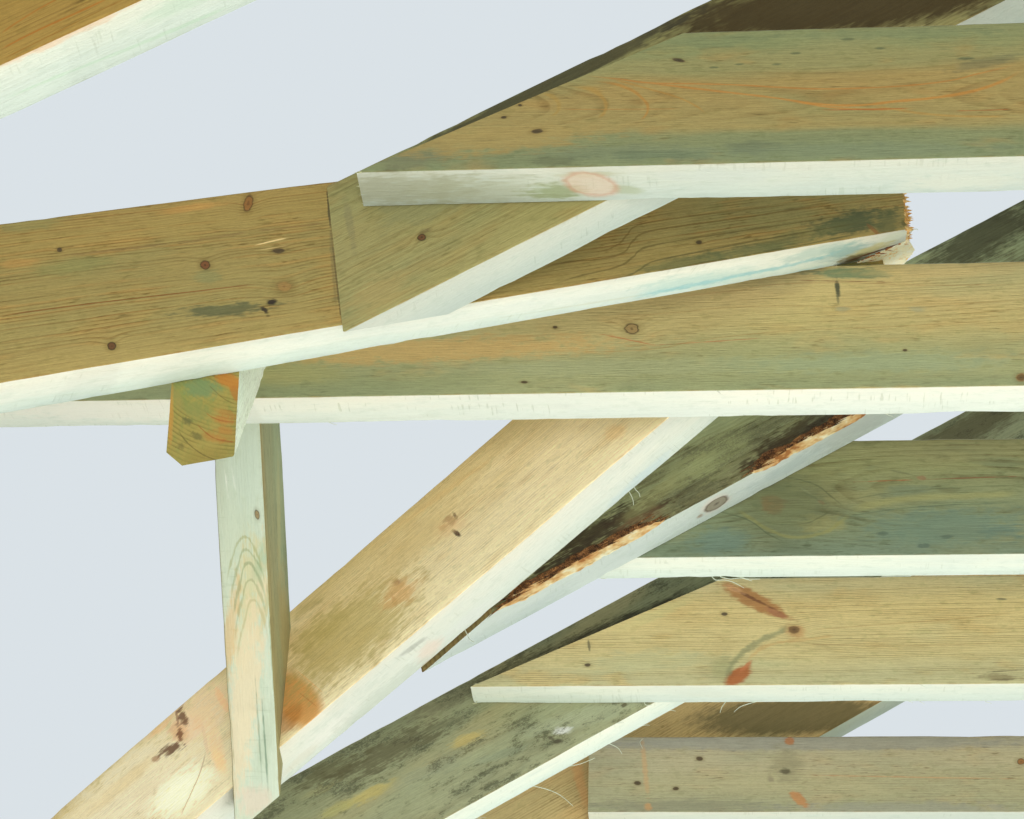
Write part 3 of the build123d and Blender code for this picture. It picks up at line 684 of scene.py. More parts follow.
LOOKS = {}
LOOKS["ceiling_joist_1"] = dict(
    face=[(0.0, srgb(124, 132, 94)), (0.16, srgb(130, 134, 92)), (0.27, srgb(156, 140, 86)), (0.60, srgb(160, 138, 82)), (0.72, srgb(146, 140, 90)), (1.0, srgb(138, 140, 94))],
    edge=CREAM, end=END, rings=((0.075, 0.072), (0.0, 0.0), 0.0027, 0.006, (0.42, -0.25)),
    mottle=[(GREEN, 0.50, 0.66, 0.45, "a"), (srgb(170, 134, 74), 0.54, 0.7, 0.35, "b")],
    contrast=0.35, dashes=0.5,
    lines=[(0.0, 0.05), (0.24, 0.10), (0.36, 0.8), (0.62, 0.8), (0.74, 0.15), (1.0, 0.05)],
    traces=[trace(J1, "b", [(580, 75), (620, 79), (657, 83), (693, 83.5), (733, 84.5), (780, 87), (830, 88.5), (880, 87), (930, 83), (980, 73), (1024, 62)], 1.1, (172, 120, 58), 0.8),
            trace(J1, "b", [(640, 82), (693, 88), (727, 92), (763, 96), (797, 101), (830, 107), (863, 109), (920, 108)], 1.4, (178, 124, 58), 0.75),
            trace(J1, "b", [(780, 98), (820, 104), (858, 105), (897, 101), (930, 98), (963, 93), (997, 83), (1024, 67)], 2.0, (180, 126, 58), 0.8),
            trace(J1, "b", [(870, 105), (900, 110), (930, 114), (965, 116), (1010, 116)], 1.6, (170, 132, 66), 0.6),
            trace(J1, "b", [(818, 109), (850, 109.5), (910, 108)], 0.7, (160, 92, 44), 0.8),
            trace(J1, "b", [(955, 110.5), (985, 110), (1012, 108.5)], 0.8, (150, 90, 44), 0.75),
            trace(J1, "b", [(556, 85), (588, 88), (602, 97), (606, 107), (598, 119)], 2.2, (166, 130, 62), 0.6),
            trace(J1, "b", [(590, 80), (625, 87), (641, 97), (648, 108), (640, 121)], 1.6, (170, 124, 58), 0.75),
            trace(J1, "b", [(612, 79), (650, 89), (680, 98), (698, 107), (708, 116)], 1.1, (168, 128, 62), 0.65),
            trace(J1, "b", [(534, 92), (553, 97), (559, 107), (550, 117)], 2.0, (164, 132, 64), 0.5),
            trace(J1, "b", [(560, 109), (620, 109), (684, 108.5)], 0.6, (166, 108, 50), 0.55)],
    knots=[K(J1, "pin", "b", 537.5, 131, 6, -0.6, 2.2), K(J1, "pin", "b", 503.8, 117, 2.6, -0.3, 1.3), K(J1, "pin", "b", 520, 105, 2.0, 0, 1.1),
           K(J1, "pink", "e", 590.6, 184.5, 26, 4, 11), K(J1, "pin", "b", 679, 60, 6, 1.2, 1.5)],
    patches=[S(J1, "b", 415, 158, 40, -7, 9, (112, 112, 84), 0.65), S(J1, "b", 640, 152, 110, -1, 8, (118, 128, 98), 0.5),
             S(J1, "b", 752, 147, 30, -1, 7, (104, 112, 84), 0.55), S(J1, "b", 550, 161, 22, 0, 5, (98, 102, 74), 0.55),
             S(J1, "b", 860, 150, 150, -3, 8, (122, 132, 100), 0.5), S(J1, "b", 930, 100, 130, -6, 20, (162, 138, 80), 0.4),
             S(J1, "b", 700, 48, 120, -6, 9, (128, 134, 88), 0.5), S(J1, "b", 950, 40, 90, -2, 9, (130, 136, 90), 0.5),
             S(J1, "b", 849, 39, 8, -0.3, 1.6, (86, 94, 64), 0.75), S(J1, "b", 880, 48, 7, -0.2, 1.5, (86, 94, 64), 0.75),
             S(J1, "b", 796, 53, 6, -0.2, 1.4, (90, 98, 66), 0.7), S(J1, "b", 739, 64, 5, -0.2, 1.3, (90, 98, 66), 0.7),
             S(J1, "b", 777, 64, 6, -0.2, 1.3, (90, 98, 66), 0.7), S(J1, "b", 714, 67, 5, 0, 1.2, (90, 98, 66), 0.7),
             S(J1, "b", 967, 58, 9, -0.3, 1.6, (88, 96, 66), 0.7), S(J1, "b", 500, 137, 120, -10, 16, (160, 140, 84), 0.9, 0.6),
             S(J1, "b", 690, 42, 90, -4, 7, (118, 128, 88), 0.5), S(J1, "b", 900, 33, 110, -2, 6, (120, 130, 90), 0.5),
             S(J1, "b", 985, 62, 40, -8, 6, (96, 100, 72), 0.5), S(J1, "b", 660, 155, 60, 0, 5, (104, 116, 86), 0.55), S(J1, "e", 400, 190, 84, -2, 18, (188, 190, 158), 0.75, 0.5), S(J1, "e", 480, 191, 76, -1, 16, (190, 194, 160), 0.6, 0.5),
             S(J1, "e", 556, 191, 34, -1, 9, (164, 176, 122), 0.8, 0.5), S(J1, "e", 586, 175, 34, -1, 3, (214, 214, 176), 0.7), S(J1, "e", 628, 190, 18, 2, 5, (190, 200, 156), 0.6), S(J1, "e", 630, 178, 22, -1, 8, (206, 212, 182), 0.4),
             L(J1, "e", 470, 204.5, 604, 203, 0.7, (110, 112, 84), 0.6), S(J1, "e", 720, 176, 60, -1, 9, (226, 233, 216), 0.5),
             S(J1, "e", 960, 182, 70, -3, 8, (236, 238, 214), 0.7), L(J1, "e", 452, 180, 536, 178, 0.8, (196, 198, 170), 0.5)],
    arris_highlight=(srgb(160, 150, 106), 0.003, 0.35))
LOOKS["ceiling_joist_2"] = dict(
    face=[(0.0, srgb(134, 142, 104)), (0.22, srgb(150, 152, 108)), (0.5, srgb(176, 164, 110)), (0.8, srgb(182, 166, 112)), (1.0, srgb(174, 160, 110))],
    edge=CREAM, end=END, rings=((-0.095, 0.02), (0.0, 0.05), 0.0024, 0.008),
    mottle=[(srgb(152, 156, 112), 0.52, 0.68, 0.45, "a"), (srgb(188, 164, 106), 0.55, 0.7, 0.35, "b")],
    contrast=0.30, dashes=0.45, ticks=0.9, lines=[(0.0, 0.1), (0.30, 0.35), (0.6, 0.8), (1.0, 1.0)],
    knots=[K(J2, "ring", "b", 632, 328.8, 7, 0.4, 5), K(J2, "pin", "b", 555, 327, 2.2, 0, 1.2), K(J2, "pin", "b", 524, 382, 3.5, 0, 1.3),
           K(J2, "pin", "b", 905, 350, 2.2, 0, 1.2), K(J2, "brown", "b", 1021, 377, 5, 0, 4)],
    patches=[S(J2, "b", 430, 350, 190, -8, 13, (190, 160, 100), 0.8, 0.6), S(J2, "b", 700, 366, 330, -4, 9, (148, 156, 118), 0.45), S(J2, "b", 420, 380, 110, -2, 9, (134, 142, 102), 0.5),
             S(J2, "b", 290, 374, 55, -1, 12, (158, 156, 104), 0.7), S(J2, "b", 880, 362, 140, -2, 12, (140, 154, 120), 0.55),
             S(J2, "b", 852, 273, 48, 1, 6, (104, 120, 88), 0.9, 0.4), L(J2, "b", 792, 280, 897, 282, 0.7, (120, 84, 56), 0.75),
             L(J2, "b", 601, 334, 655, 345, 0.7, (168, 108, 68), 0.65), L(J2, "b", 655, 345, 763, 338, 0.7, (168, 108, 68), 0.55),
             S(J2, "b", 837.5, 288, 0.8, 10, 2.6, (60, 66, 52), 0.9), S(J2, "b", 838, 300, 0.6, 5, 1.6, (96, 98, 70), 0.6),
             S(J2, "b", 842, 309, 9, 0, 3, (142, 142, 112), 0.6), S(J2, "b", 917, 309, 10, 0, 3, (142, 142, 112), 0.6),
             S(J2, "b", 930, 272, 90, -1, 5, (186, 168, 114), 0.5), S(J2, "b", 640, 300, 70, -6, 6, (184, 168, 112), 0.4),
             S(J2, "b", 1000, 345, 40, 0, 8, (170, 160, 110), 0.4),
             S(J2, "e", 120, 412, 120, 0, 10, (240, 240, 220), 0.6), S(J2, "e", 250, 412, 10, 14, 8, (214, 222, 200), 0.5),
             S(J2, "e", 560, 406, 14, 0, 3, (216, 224, 206), 0.6), S(J2, "e", 900, 400, 60, 0, 5, (226, 232, 214), 0.4)],
    traces=[trace(J2, "b", [(560, 352), (640, 350), (700, 340), (800, 330), (900, 326), (1020, 318)], 0.8, (152, 128, 78), 0.5),
            trace(J2, "b", [(600, 318), (680, 312), (760, 306), (860, 306), (1022, 300)], 0.8, (158, 132, 80), 0.45),
            trace(J2, "b", [(640, 300), (740, 290), (800, 283), (850, 282.5), (920, 285), (1022, 284)], 0.7, (154, 122, 76), 0.5)],
    arris_highlight=(srgb(184, 166, 116), 0.0025, 0.35))
LOOKS["ceiling_joist_3"] = dict(
    face=[(0.0, srgb(112, 128, 102)), (0.3, srgb(120, 132, 98)), (0.6, srgb(128, 134, 92)), (0.8, srgb(134, 138, 92)), (1.0, srgb(134, 136, 92))],
    edge=CREAM, end=END, rings=((0.115, 0.10), (0.0, -0.02), 0.0028, 0.010),
    mottle=[(srgb(108, 122, 92), 0.5, 0.66, 0.4, "b"), (srgb(140, 136, 90), 0.52, 0.7, 0.45, "a")],
    contrast=0.55, dashes=0.6, lines=[(0.0, 0.15), (0.35, 0.6), (0.6, 1.0), (1.0, 1.0)],
    knots=[K(J3, "swirl", "b", 786, 503, 34, 0, 26)],
    patches=[S(J3, "b", 773, 504, 14, 1, 10, (128, 92, 56), 0.85, 0.3),
             S(J3, "b", 821, 502, 4, 2, 1.8, (140, 108, 74), 0.8), S(J3, "b", 813, 497, 7, 4, 1.2, (78, 86, 62), 0.7),
             S(J3, "b", 806, 491, 5, 3, 1.2, (170, 176, 138), 0.5), S(J3, "b", 800, 503, 30, 0, 17, (104, 114, 84), 0.5, 0.6),
             S(J3, "b", 925, 452, 110, 0, 11, (140, 142, 96), 0.55), L(J3, "b", 863, 481.5, 918, 479.5, 0.7, (142, 92, 56), 0.8),
             L(J3, "b", 918, 479.5, 1024, 475.8, 0.7, (120, 82, 54), 0.8), S(J3, "b", 921, 478, 5, 0, 2.6, (140, 104, 74), 0.6),
             L(J3, "b", 890, 470, 918, 476, 0.7, (100, 104, 72), 0.5), L(J3, "b", 850, 466, 890, 470, 0.7, (104, 110, 76), 0.4),
             S(J3, "b", 950, 527, 90, -2, 20, (104, 126, 104), 0.75), S(J3, "b", 905, 492, 26, -2, 8, (104, 120, 96), 0.5),
             S(J3, "b", 722, 541, 34, 0, 14, (102, 126, 110), 0.7), S(J3, "b", 760, 470, 40, -18, 8, (112, 122, 84), 0.5),
             S(J3, "b", 882, 533, 6, 0, 2.6, (82, 98, 80), 0.8), S(J3, "b", 947.7, 536.5, 7, 0, 2.4, (82, 98, 80), 0.8),
             S(J3, "b", 924.6, 546, 8, 0, 2.4, (82, 98, 82), 0.75), S(J3, "b", 820, 524, 24, 2, 9, (146, 148, 98), 0.7, 0.8),
             L(J3, "b", 880, 460, 1024, 454, 0.9, (168, 168, 116), 0.4), L(J3, "b", 890, 510, 1024, 500, 0.9, (138, 146, 106), 0.4),
             S(J3, "b", 1005, 530, 24, 0, 8, (92, 116, 100), 0.5), L(J3, "b", 644, 550, 700, 545, 1.0, (150, 172, 150), 0.4)],
    traces=[trace(J3, "b", [(735, 509), (752, 519), (770, 530), (795, 537), (822, 533), (840, 522), (852, 513)], 2.2, (140, 142, 86), 0.6),
            trace(J3, "b", [(704, 510), (730, 514), (750, 521), (770, 535), (786, 542)], 0.9, (84, 96, 68), 0.6),
            trace(J3, "b", [(742, 497), (756, 485), (780, 478), (808, 482), (832, 497), (846, 509)], 1.0, (84, 94, 64), 0.55),
            trace(J3, "b", [(760, 519), (778, 524), (800, 524), (820, 517), (834, 506)], 0.9, (88, 98, 66), 0.55),
            trace(J3, "b", [(846, 512), (880, 503), (915, 497.5), (960, 496), (1022, 493)], 4.5, (146, 146, 92), 0.6),
            trace(J3, "b", [(842, 505), (880, 494), (930, 489), (1022, 485)], 0.8, (98, 106, 72), 0.55),
            trace(J3, "b", [(842, 518), (880, 511), (930, 506), (1022, 502)], 0.9, (92, 108, 80), 0.55)],
    mould=0.15, arris_highlight=(srgb(140, 142, 104), 0.003, 0.3))
LOOKS["ceiling_joist_4"] = dict(
    face=[(0.0, srgb(166, 156, 108)), (0.35, srgb(182, 163, 106)), (0.7, srgb(190, 167, 106)), (1.0, srgb(180, 162, 108))],
    edge=CREAM, end=END, rings=((0.02, -0.10), (0.0, 0.012), 0.0024, 0.006),
    mottle=[(srgb(158, 158, 112), 0.52, 0.68, 0.5, "a"), (srgb(190, 162, 100), 0.54, 0.7, 0.45, "b")],
    contrast=0.5, dashes=0.35,
    knots=[K(J4, "brown", "b", 794, 629.6, 6, 0.6, 4), K(J4, "pin", "b", 724.6, 614, 3, 0, 1.8), K(J4, "pin", "b", 587.5, 665, 3, 0, 1.8)],
    patches=[S(J4, "b", 754, 600, 36, 19, 9, (150, 102, 54), 0.9, 0.3), S(J4, "b", 776, 613, 12, 6, 3.5, (148, 98, 62), 0.8, 0.5),
             S(J4, "b", 752, 598, 24, 12, 1.6, (104, 66, 40), 0.85, 0.5), S(J4, "b", 734, 589, 10, 4, 3, (196, 148, 96), 0.6),
             S(J4, "b", 796, 631, 12, 1, 7, (178, 128, 76), 0.6), S(J4, "b", 722, 668, 12, 4, 14, (132, 128, 82), 0.55),
             S(J4, "b", 738, 675.5, 14, -10, 8, (146, 80, 38), 0.92, 0.25), S(J4, "b", 746, 666, 6, -6, 2.2, (166, 98, 56), 0.7),
             S(J4, "b", 589, 646, 0.8, 6, 1.4, (96, 88, 58), 0.8), S(J4, "b", 998, 677, 22, 0, 3.5, (112, 98, 62), 0.7),
             L(J4, "b", 985, 672, 1020, 670, 0.8, (84, 72, 46), 0.7), L(J4, "b", 982, 680, 1018, 679, 0.8, (96, 82, 52), 0.6),
             S(J4, "b", 1001.5, 599, 6, 0, 1.2, (96, 90, 60), 0.8), S(J4, "b", 640, 662, 70, -6, 12, (164, 160, 112), 0.5),
             S(J4, "b", 660, 612, 40, -18, 6, (176, 164, 104), 0.5), S(J4, "b", 900, 630, 90, -2, 14, (184, 160, 100), 0.4),
             S(J4, "b", 930, 668, 60, 0, 8, (190, 158, 100), 0.4), L(J4, "b", 806, 632, 1020, 618, 0.8, (150, 122, 74), 0.4),
             L(J4, "b", 806, 640, 1000, 640, 0.8, (150, 122, 74), 0.35), L(J4, "b", 560, 640, 700, 620, 0.7, (150, 140, 92), 0.35),
             S(J4, "e", 700, 694, 30, 0, 4, (222, 228, 206), 0.5)],
    traces=[trace(J4, "b", [(790, 627), (775, 634), (757, 642), (742, 653), (730, 668), (722, 686)], 3.2, (118, 116, 76), 0.7, 0.8),
            trace(J4, "b", [(836, 636), (800, 640), (772, 644), (754, 654), (744, 664)], 2.0, (172, 134, 76), 0.5, 0.8),
            trace(J4, "b", [(1020, 612), (940, 620), (860, 626), (806, 630)], 0.8, (156, 124, 70), 0.5),
            trace(J4, "b", [(1020, 640), (920, 645), (840, 645), (800, 642)], 0.8, (150, 122, 72), 0.5)],
    arris_highlight=(srgb(188, 174, 122), 0.0025, 0.35))
LOOKS["ceiling_joist_5"] = dict(
    face=[(0.0, srgb(148, 152, 120)), (0.35, srgb(166, 164, 126)), (0.7, srgb(168, 164, 130)), (1.0, srgb(152, 150, 126))],
    edge=CREAM, end=END, rings=((0.03, -0.09), (0.0, 0.006), 0.0024, 0.005),
    mottle=[(srgb(150, 154, 122), 0.5, 0.68, 0.45, "a"), (srgb(180, 168, 128), 0.52, 0.7, 0.4, "b")],
    contrast=0.28, dashes=0.7,
    knots=[K(J5, "pin", "b", 699.6, 758.5, 3.2, 0, 2), K(J5, "pin", "b", 637.4, 783, 3, 0, 1.8), K(J5, "pin", "b", 675.8, 788.5, 2.6, 0, 1.6),
           K(J5, "orange", "b", 1021, 761.5, 4, 0, 3)],
    patches=[S(J5, "b", 800, 743, 260, -1, 8, (140, 142, 126), 0.8, 0.3), S(J5, "b", 680, 806, 110, 0, 7, (132, 134, 108), 0.7, 0.5), S(J5, "b", 900, 808, 130, 0, 7, (142, 146, 128), 0.7, 0.5),
             S(J5, "b", 789.5, 741, 5, 1, 4.5, (160, 106, 62), 0.85, 0.4), S(J5, "b", 787, 764, 17, 2, 19, (138, 136, 104), 0.7, 0.5), S(J5, "b", 785, 771, 6, 0, 3.2, (82, 78, 58), 0.85, 0.5), S(J5, "b", 798.5, 799, 10, 8, 5.5, (172, 124, 76), 0.85, 0.4),
             S(J5, "b", 770.8, 779, 4, 0, 3, (130, 124, 98), 0.7),
             L(J5, "b", 801.5, 775, 1021, 779, 0.8, (180, 138, 92), 0.5), S(J5, "b", 940, 790, 80, 0, 9, (176, 164, 124), 0.4),
             S(J5, "b", 645, 768, 3, 30, 3, (186, 150, 100), 0.5), S(J5, "b", 648, 806, 4, 2, 4, (190, 144, 88), 0.6)],
    arris_highlight=(srgb(180, 174, 134), 0.0025, 0.35))
LOOKS["left_rafter_1"] = dict(
    face=[(0.0, srgb(170, 138, 76)), (0.5, srgb(166, 134, 70)), (1.0, srgb(160, 134, 74))],
    edge=CREAM, end=END, rings=((0.08, -0.06), (0.0, 0.01), 0.0028, 0.008),
    mottle=[(srgb(178, 134, 68), 0.5, 0.68, 0.5, "a"), (srgb(146, 134, 78), 0.55, 0.7, 0.4, "b")],
    patches=[S(A, "e", 70, 34, 90, -41, 5, (240, 208, 170), 0.75, 0.6), S(A, "e", 180, 4, 40, -18, 9, (204, 224, 196), 0.6)],
    traces=[trace(A, "b", [(0, 52), (40, 29), (80, 11), (112, -4)], 1.4, (176, 108, 38), 0.7, 0.5),
            trace(A, "b", [(0, 34), (33, 12), (62, -4)], 1.2, (176, 112, 42), 0.6, 0.5),
            trace(A, "b", [(0, 60), (50, 35), (100, 10), (130, -4)], 1.0, (150, 104, 40), 0.6, 0.5),
            trace(A, "e", [(0, 101), (60, 76), (120, 52), (200, 19), (236, 3)], 2.6, (200, 224, 192), 0.6, 0.7)],
    arris_highlight=(srgb(180, 152, 92), 0.003, 0.4))
LOOKS["left_rafter_2"] = dict(
    face=[(0.0, srgb(148, 140, 88)), (0.5, srgb(146, 138, 88)), (1.0, srgb(138, 134, 84))],
    edge=CREAM, end=END, rings=((0.10, 0.10), (0.0, 0.006), 0.0028, 0.008),
    mottle=[(srgb(128, 134, 92), 0.5, 0.66, 0.5, "a"), (srgb(160, 140, 84), 0.52, 0.7, 0.4, "b")],
    knots=[K(R1, "dark", "b", 422, 237, 4, -1, 3.2)],
    # The first patch below, greener grey just below the first joist, is painted shade from that joist.
    patches=[S(R1, "b", 420, 207, 50, -14, 16, (130, 132, 92), 0.5), S(R1, "b", 380, 292, 30, -18, 18, (162, 140, 86), 0.5),
             S(R1, "b", 425, 231, 8, -3, 3, (104, 92, 60), 0.6), S(R1, "b", 470, 232, 26, -12, 7, (150, 144, 92), 0.4),
             S(R1, "b", 455, 262, 34, -18, 7, (140, 132, 84), 0.4), L(R1, "b", 350, 262, 410, 236, 1.0, (112, 104, 64), 0.45),
             L(R1, "b", 348, 300, 440, 254, 0.9, (116, 106, 66), 0.4), S(R1, "b", 350, 225, 5, 30, 4, (122, 116, 80), 0.5),
             # The two patches below, and the last one on the line after, darken the rafter's upper part above the first
             # joist: painted shade from the roof covering.
             S(R1, "b", 840, 6, 210, -20, 30, (60, 46, 20), 0.92, 0.2), S(R1, "b", 540, 90, 170, -86, 10, (68, 64, 42), 0.85, 0.3),
             S(R1, "b", 930, 18, 50, 0, 9, (92, 80, 44), 0.4)],
    dashes=0.4, contrast=0.2, mould=0.1, arris_highlight=(srgb(166, 152, 104), 0.003, 0.35))
LOOKS["left_rafter_3"] = dict(
    face=[(0.0, srgb(96, 90, 58)), (0.25, srgb(110, 112, 76)), (0.6, srgb(124, 128, 88)), (1.0, srgb(128, 130, 90))],
    edge=[(0.0, srgb(214, 222, 204)), (0.35, srgb(214, 224, 212)), (0.7, srgb(200, 212, 202)), (1.0, srgb(190, 204, 192))],
    end=(srgb(118, 116, 78), srgb(136, 120, 78), srgb(84, 64, 40)), rings=((0.12, 0.0), (0.0, 0.01), 0.0030, 0.010),
    mottle=[(srgb(88, 82, 52), 0.50, 0.62, 0.45, "b"), (srgb(140, 138, 94), 0.50, 0.66, 0.45, "c")],
    knots=[K(H, "grey", "e", 716.7, 504, 11, -7, 4.2)],
    patches=[S(H, "b", 600, 531, 72, -40, 12, (46, 36, 22), 0.9, 0.8), S(H, "b", 556, 566, 52, -34, 7, (46, 38, 24), 0.85, 0.7),
             S(H, "b", 640, 512, 34, -14, 6, (50, 36, 22), 0.8, 0.8),
             S(H, "b", 790, 440, 44, -32, 15, (54, 44, 24), 0.85, 0.7), S(H, "b", 822, 424, 24, -10, 6, (44, 34, 20), 0.8),
             S(H, "b", 770, 452, 26, -14, 7, (50, 40, 24), 0.75, 0.8),
             S(H, "b", 720, 452, 34, -30, 18, (126, 128, 82), 0.5), S(H, "b", 686, 470, 26, -22, 13, (124, 124, 80), 0.5),
             S(H, "b", 650, 500, 30, -24, 9, (122, 118, 74), 0.5), S(H, "b", 640, 520, 26, -13, 6, (92, 66, 42), 0.6),
             # The last patch on the line below, at the rafter's upper end beside the second joist's top, is painted
             # shade from the roof covering.
             S(H, "b", 735, 470, 16, -12, 8, (142, 144, 98), 0.4), S(H, "b", 985, 235, 60, -32, 24, (58, 54, 32), 0.85),
             S(H, "b", 440, 654, 26, -19, 6, (168, 138, 88), 0.8, 0.6),
             S(H, "e", 716, 503.5, 15, -9.5, 7, (232, 224, 204), 0.8, 0.3), S(H, "e", 700, 516, 4, -2.5, 1.6, (150, 118, 82), 0.7),
             S(H, "e", 860, 424, 50, -28, 12, (186, 194, 180), 0.7), S(H, "e", 790, 466, 40, -22, 5, (178, 194, 184), 0.5),
             L(H, "e", 700, 530, 850, 446, 1.0, (160, 172, 164), 0.5), S(H, "e", 600, 576, 50, -26, 8, (218, 228, 214), 0.5),
             L(H, "e", 560, 612, 640, 566, 0.9, (176, 184, 164), 0.4)],
    dashes=0.8, mould=0.5, bark=True, arris_highlight=None)
LOOKS["left_rafter_4"] = dict(
    face=[(0.0, srgb(150, 154, 118)), (0.4, srgb(148, 154, 118)), (0.8, srgb(132, 138, 102)), (1.0, srgb(122, 128, 94))],
    edge=CREAM, end=END, rings=((0.09, 0.03), (0.0, 0.01), 0.0026, 0.008),
    mottle=[(srgb(126, 134, 102), 0.5, 0.66, 0.5, "b"), (srgb(162, 152, 106), 0.53, 0.7, 0.45, "a")],
    knots=[],
    patches=[S(R4, "b", 392, 750, 60, -30, 14, (92, 90, 62), 0.8, 0.9), S(R4, "b", 330, 770, 34, -16, 9, (90, 88, 58), 0.7, 0.9), S(R4, "b", 450, 700, 50, -22, 8, (100, 100, 72), 0.6, 0.9),
             S(R4, "b", 468, 738.7, 17, -6, 6, (178, 162, 98), 0.8, 0.6), S(R4, "b", 368, 794, 26, -13, 6, (176, 164, 98), 0.8, 0.6),
             S(R4, "b", 337, 809, 18, -8, 6, (164, 160, 96), 0.6), S(R4, "b", 585, 717, 60, -16, 10, (162, 170, 138), 0.6),
             S(R4, "b", 562, 731, 9, -2, 4.5, (206, 210, 200), 0.95, 0.5), S(R4, "b", 557, 741, 7, -1, 3.2, (74, 72, 54), 0.9, 0.5), S(R4, "b", 551, 738, 4, 2, 1.8, (92, 88, 66), 0.8), S(R4, "b", 624, 705, 3, -1, 2, (86, 78, 52), 0.8),
             S(R4, "b", 605, 634, 130, -56, 12, (50, 48, 32), 0.9), S(R4, "b", 430, 770, 40, -18, 8, (140, 150, 120), 0.5),
             S(R4, "b", 500, 755, 30, -10, 5, (128, 140, 112), 0.5), S(R4, "b", 450, 722, 26, -10, 4, (112, 116, 84), 0.5),
             # The first patch on the line below, at the rafter's upper end beside the third joist's top, is painted
             # shade from the roof covering.
             S(R4, "b", 970, 428, 60, -26, 16, (86, 82, 54), 0.8), S(R4, "b", 320, 790, 20, -9, 4, (150, 150, 104), 0.5),
             L(R4, "b", 300, 796, 470, 726, 0.9, (100, 98, 66), 0.4)],
    mould=0.6, dashes=0.4, contrast=0.14, arris_highlight=(srgb(168, 164, 124), 0.003, 0.35))
LOOKS["left_rafter_5"] = dict(
    face=[(0.0, srgb(176, 150, 98)), (0.5, srgb(166, 142, 90)), (1.0, srgb(156, 134, 84))],
    edge=[(0.0, srgb(196, 204, 178)), (1.0, srgb(184, 196, 176))], end=END, rings=((0.09, 0.03), (0.0, 0.01), 0.0028, 0.008),
    mottle=[(srgb(152, 142, 94), 0.5, 0.66, 0.5, "a")],
    # The first patch below, a dark band across the rafter along the line of the joists, is painted shade.
    patches=[S(R5, "b", 790, 716, 110, -6, 22, (96, 86, 52), 0.92, 0.2), S(R5, "b", 580, 780, 8, 30, 6, (176, 128, 74), 0.5)],
    arris_highlight=(srgb(182, 158, 104), 0.003, 0.35))
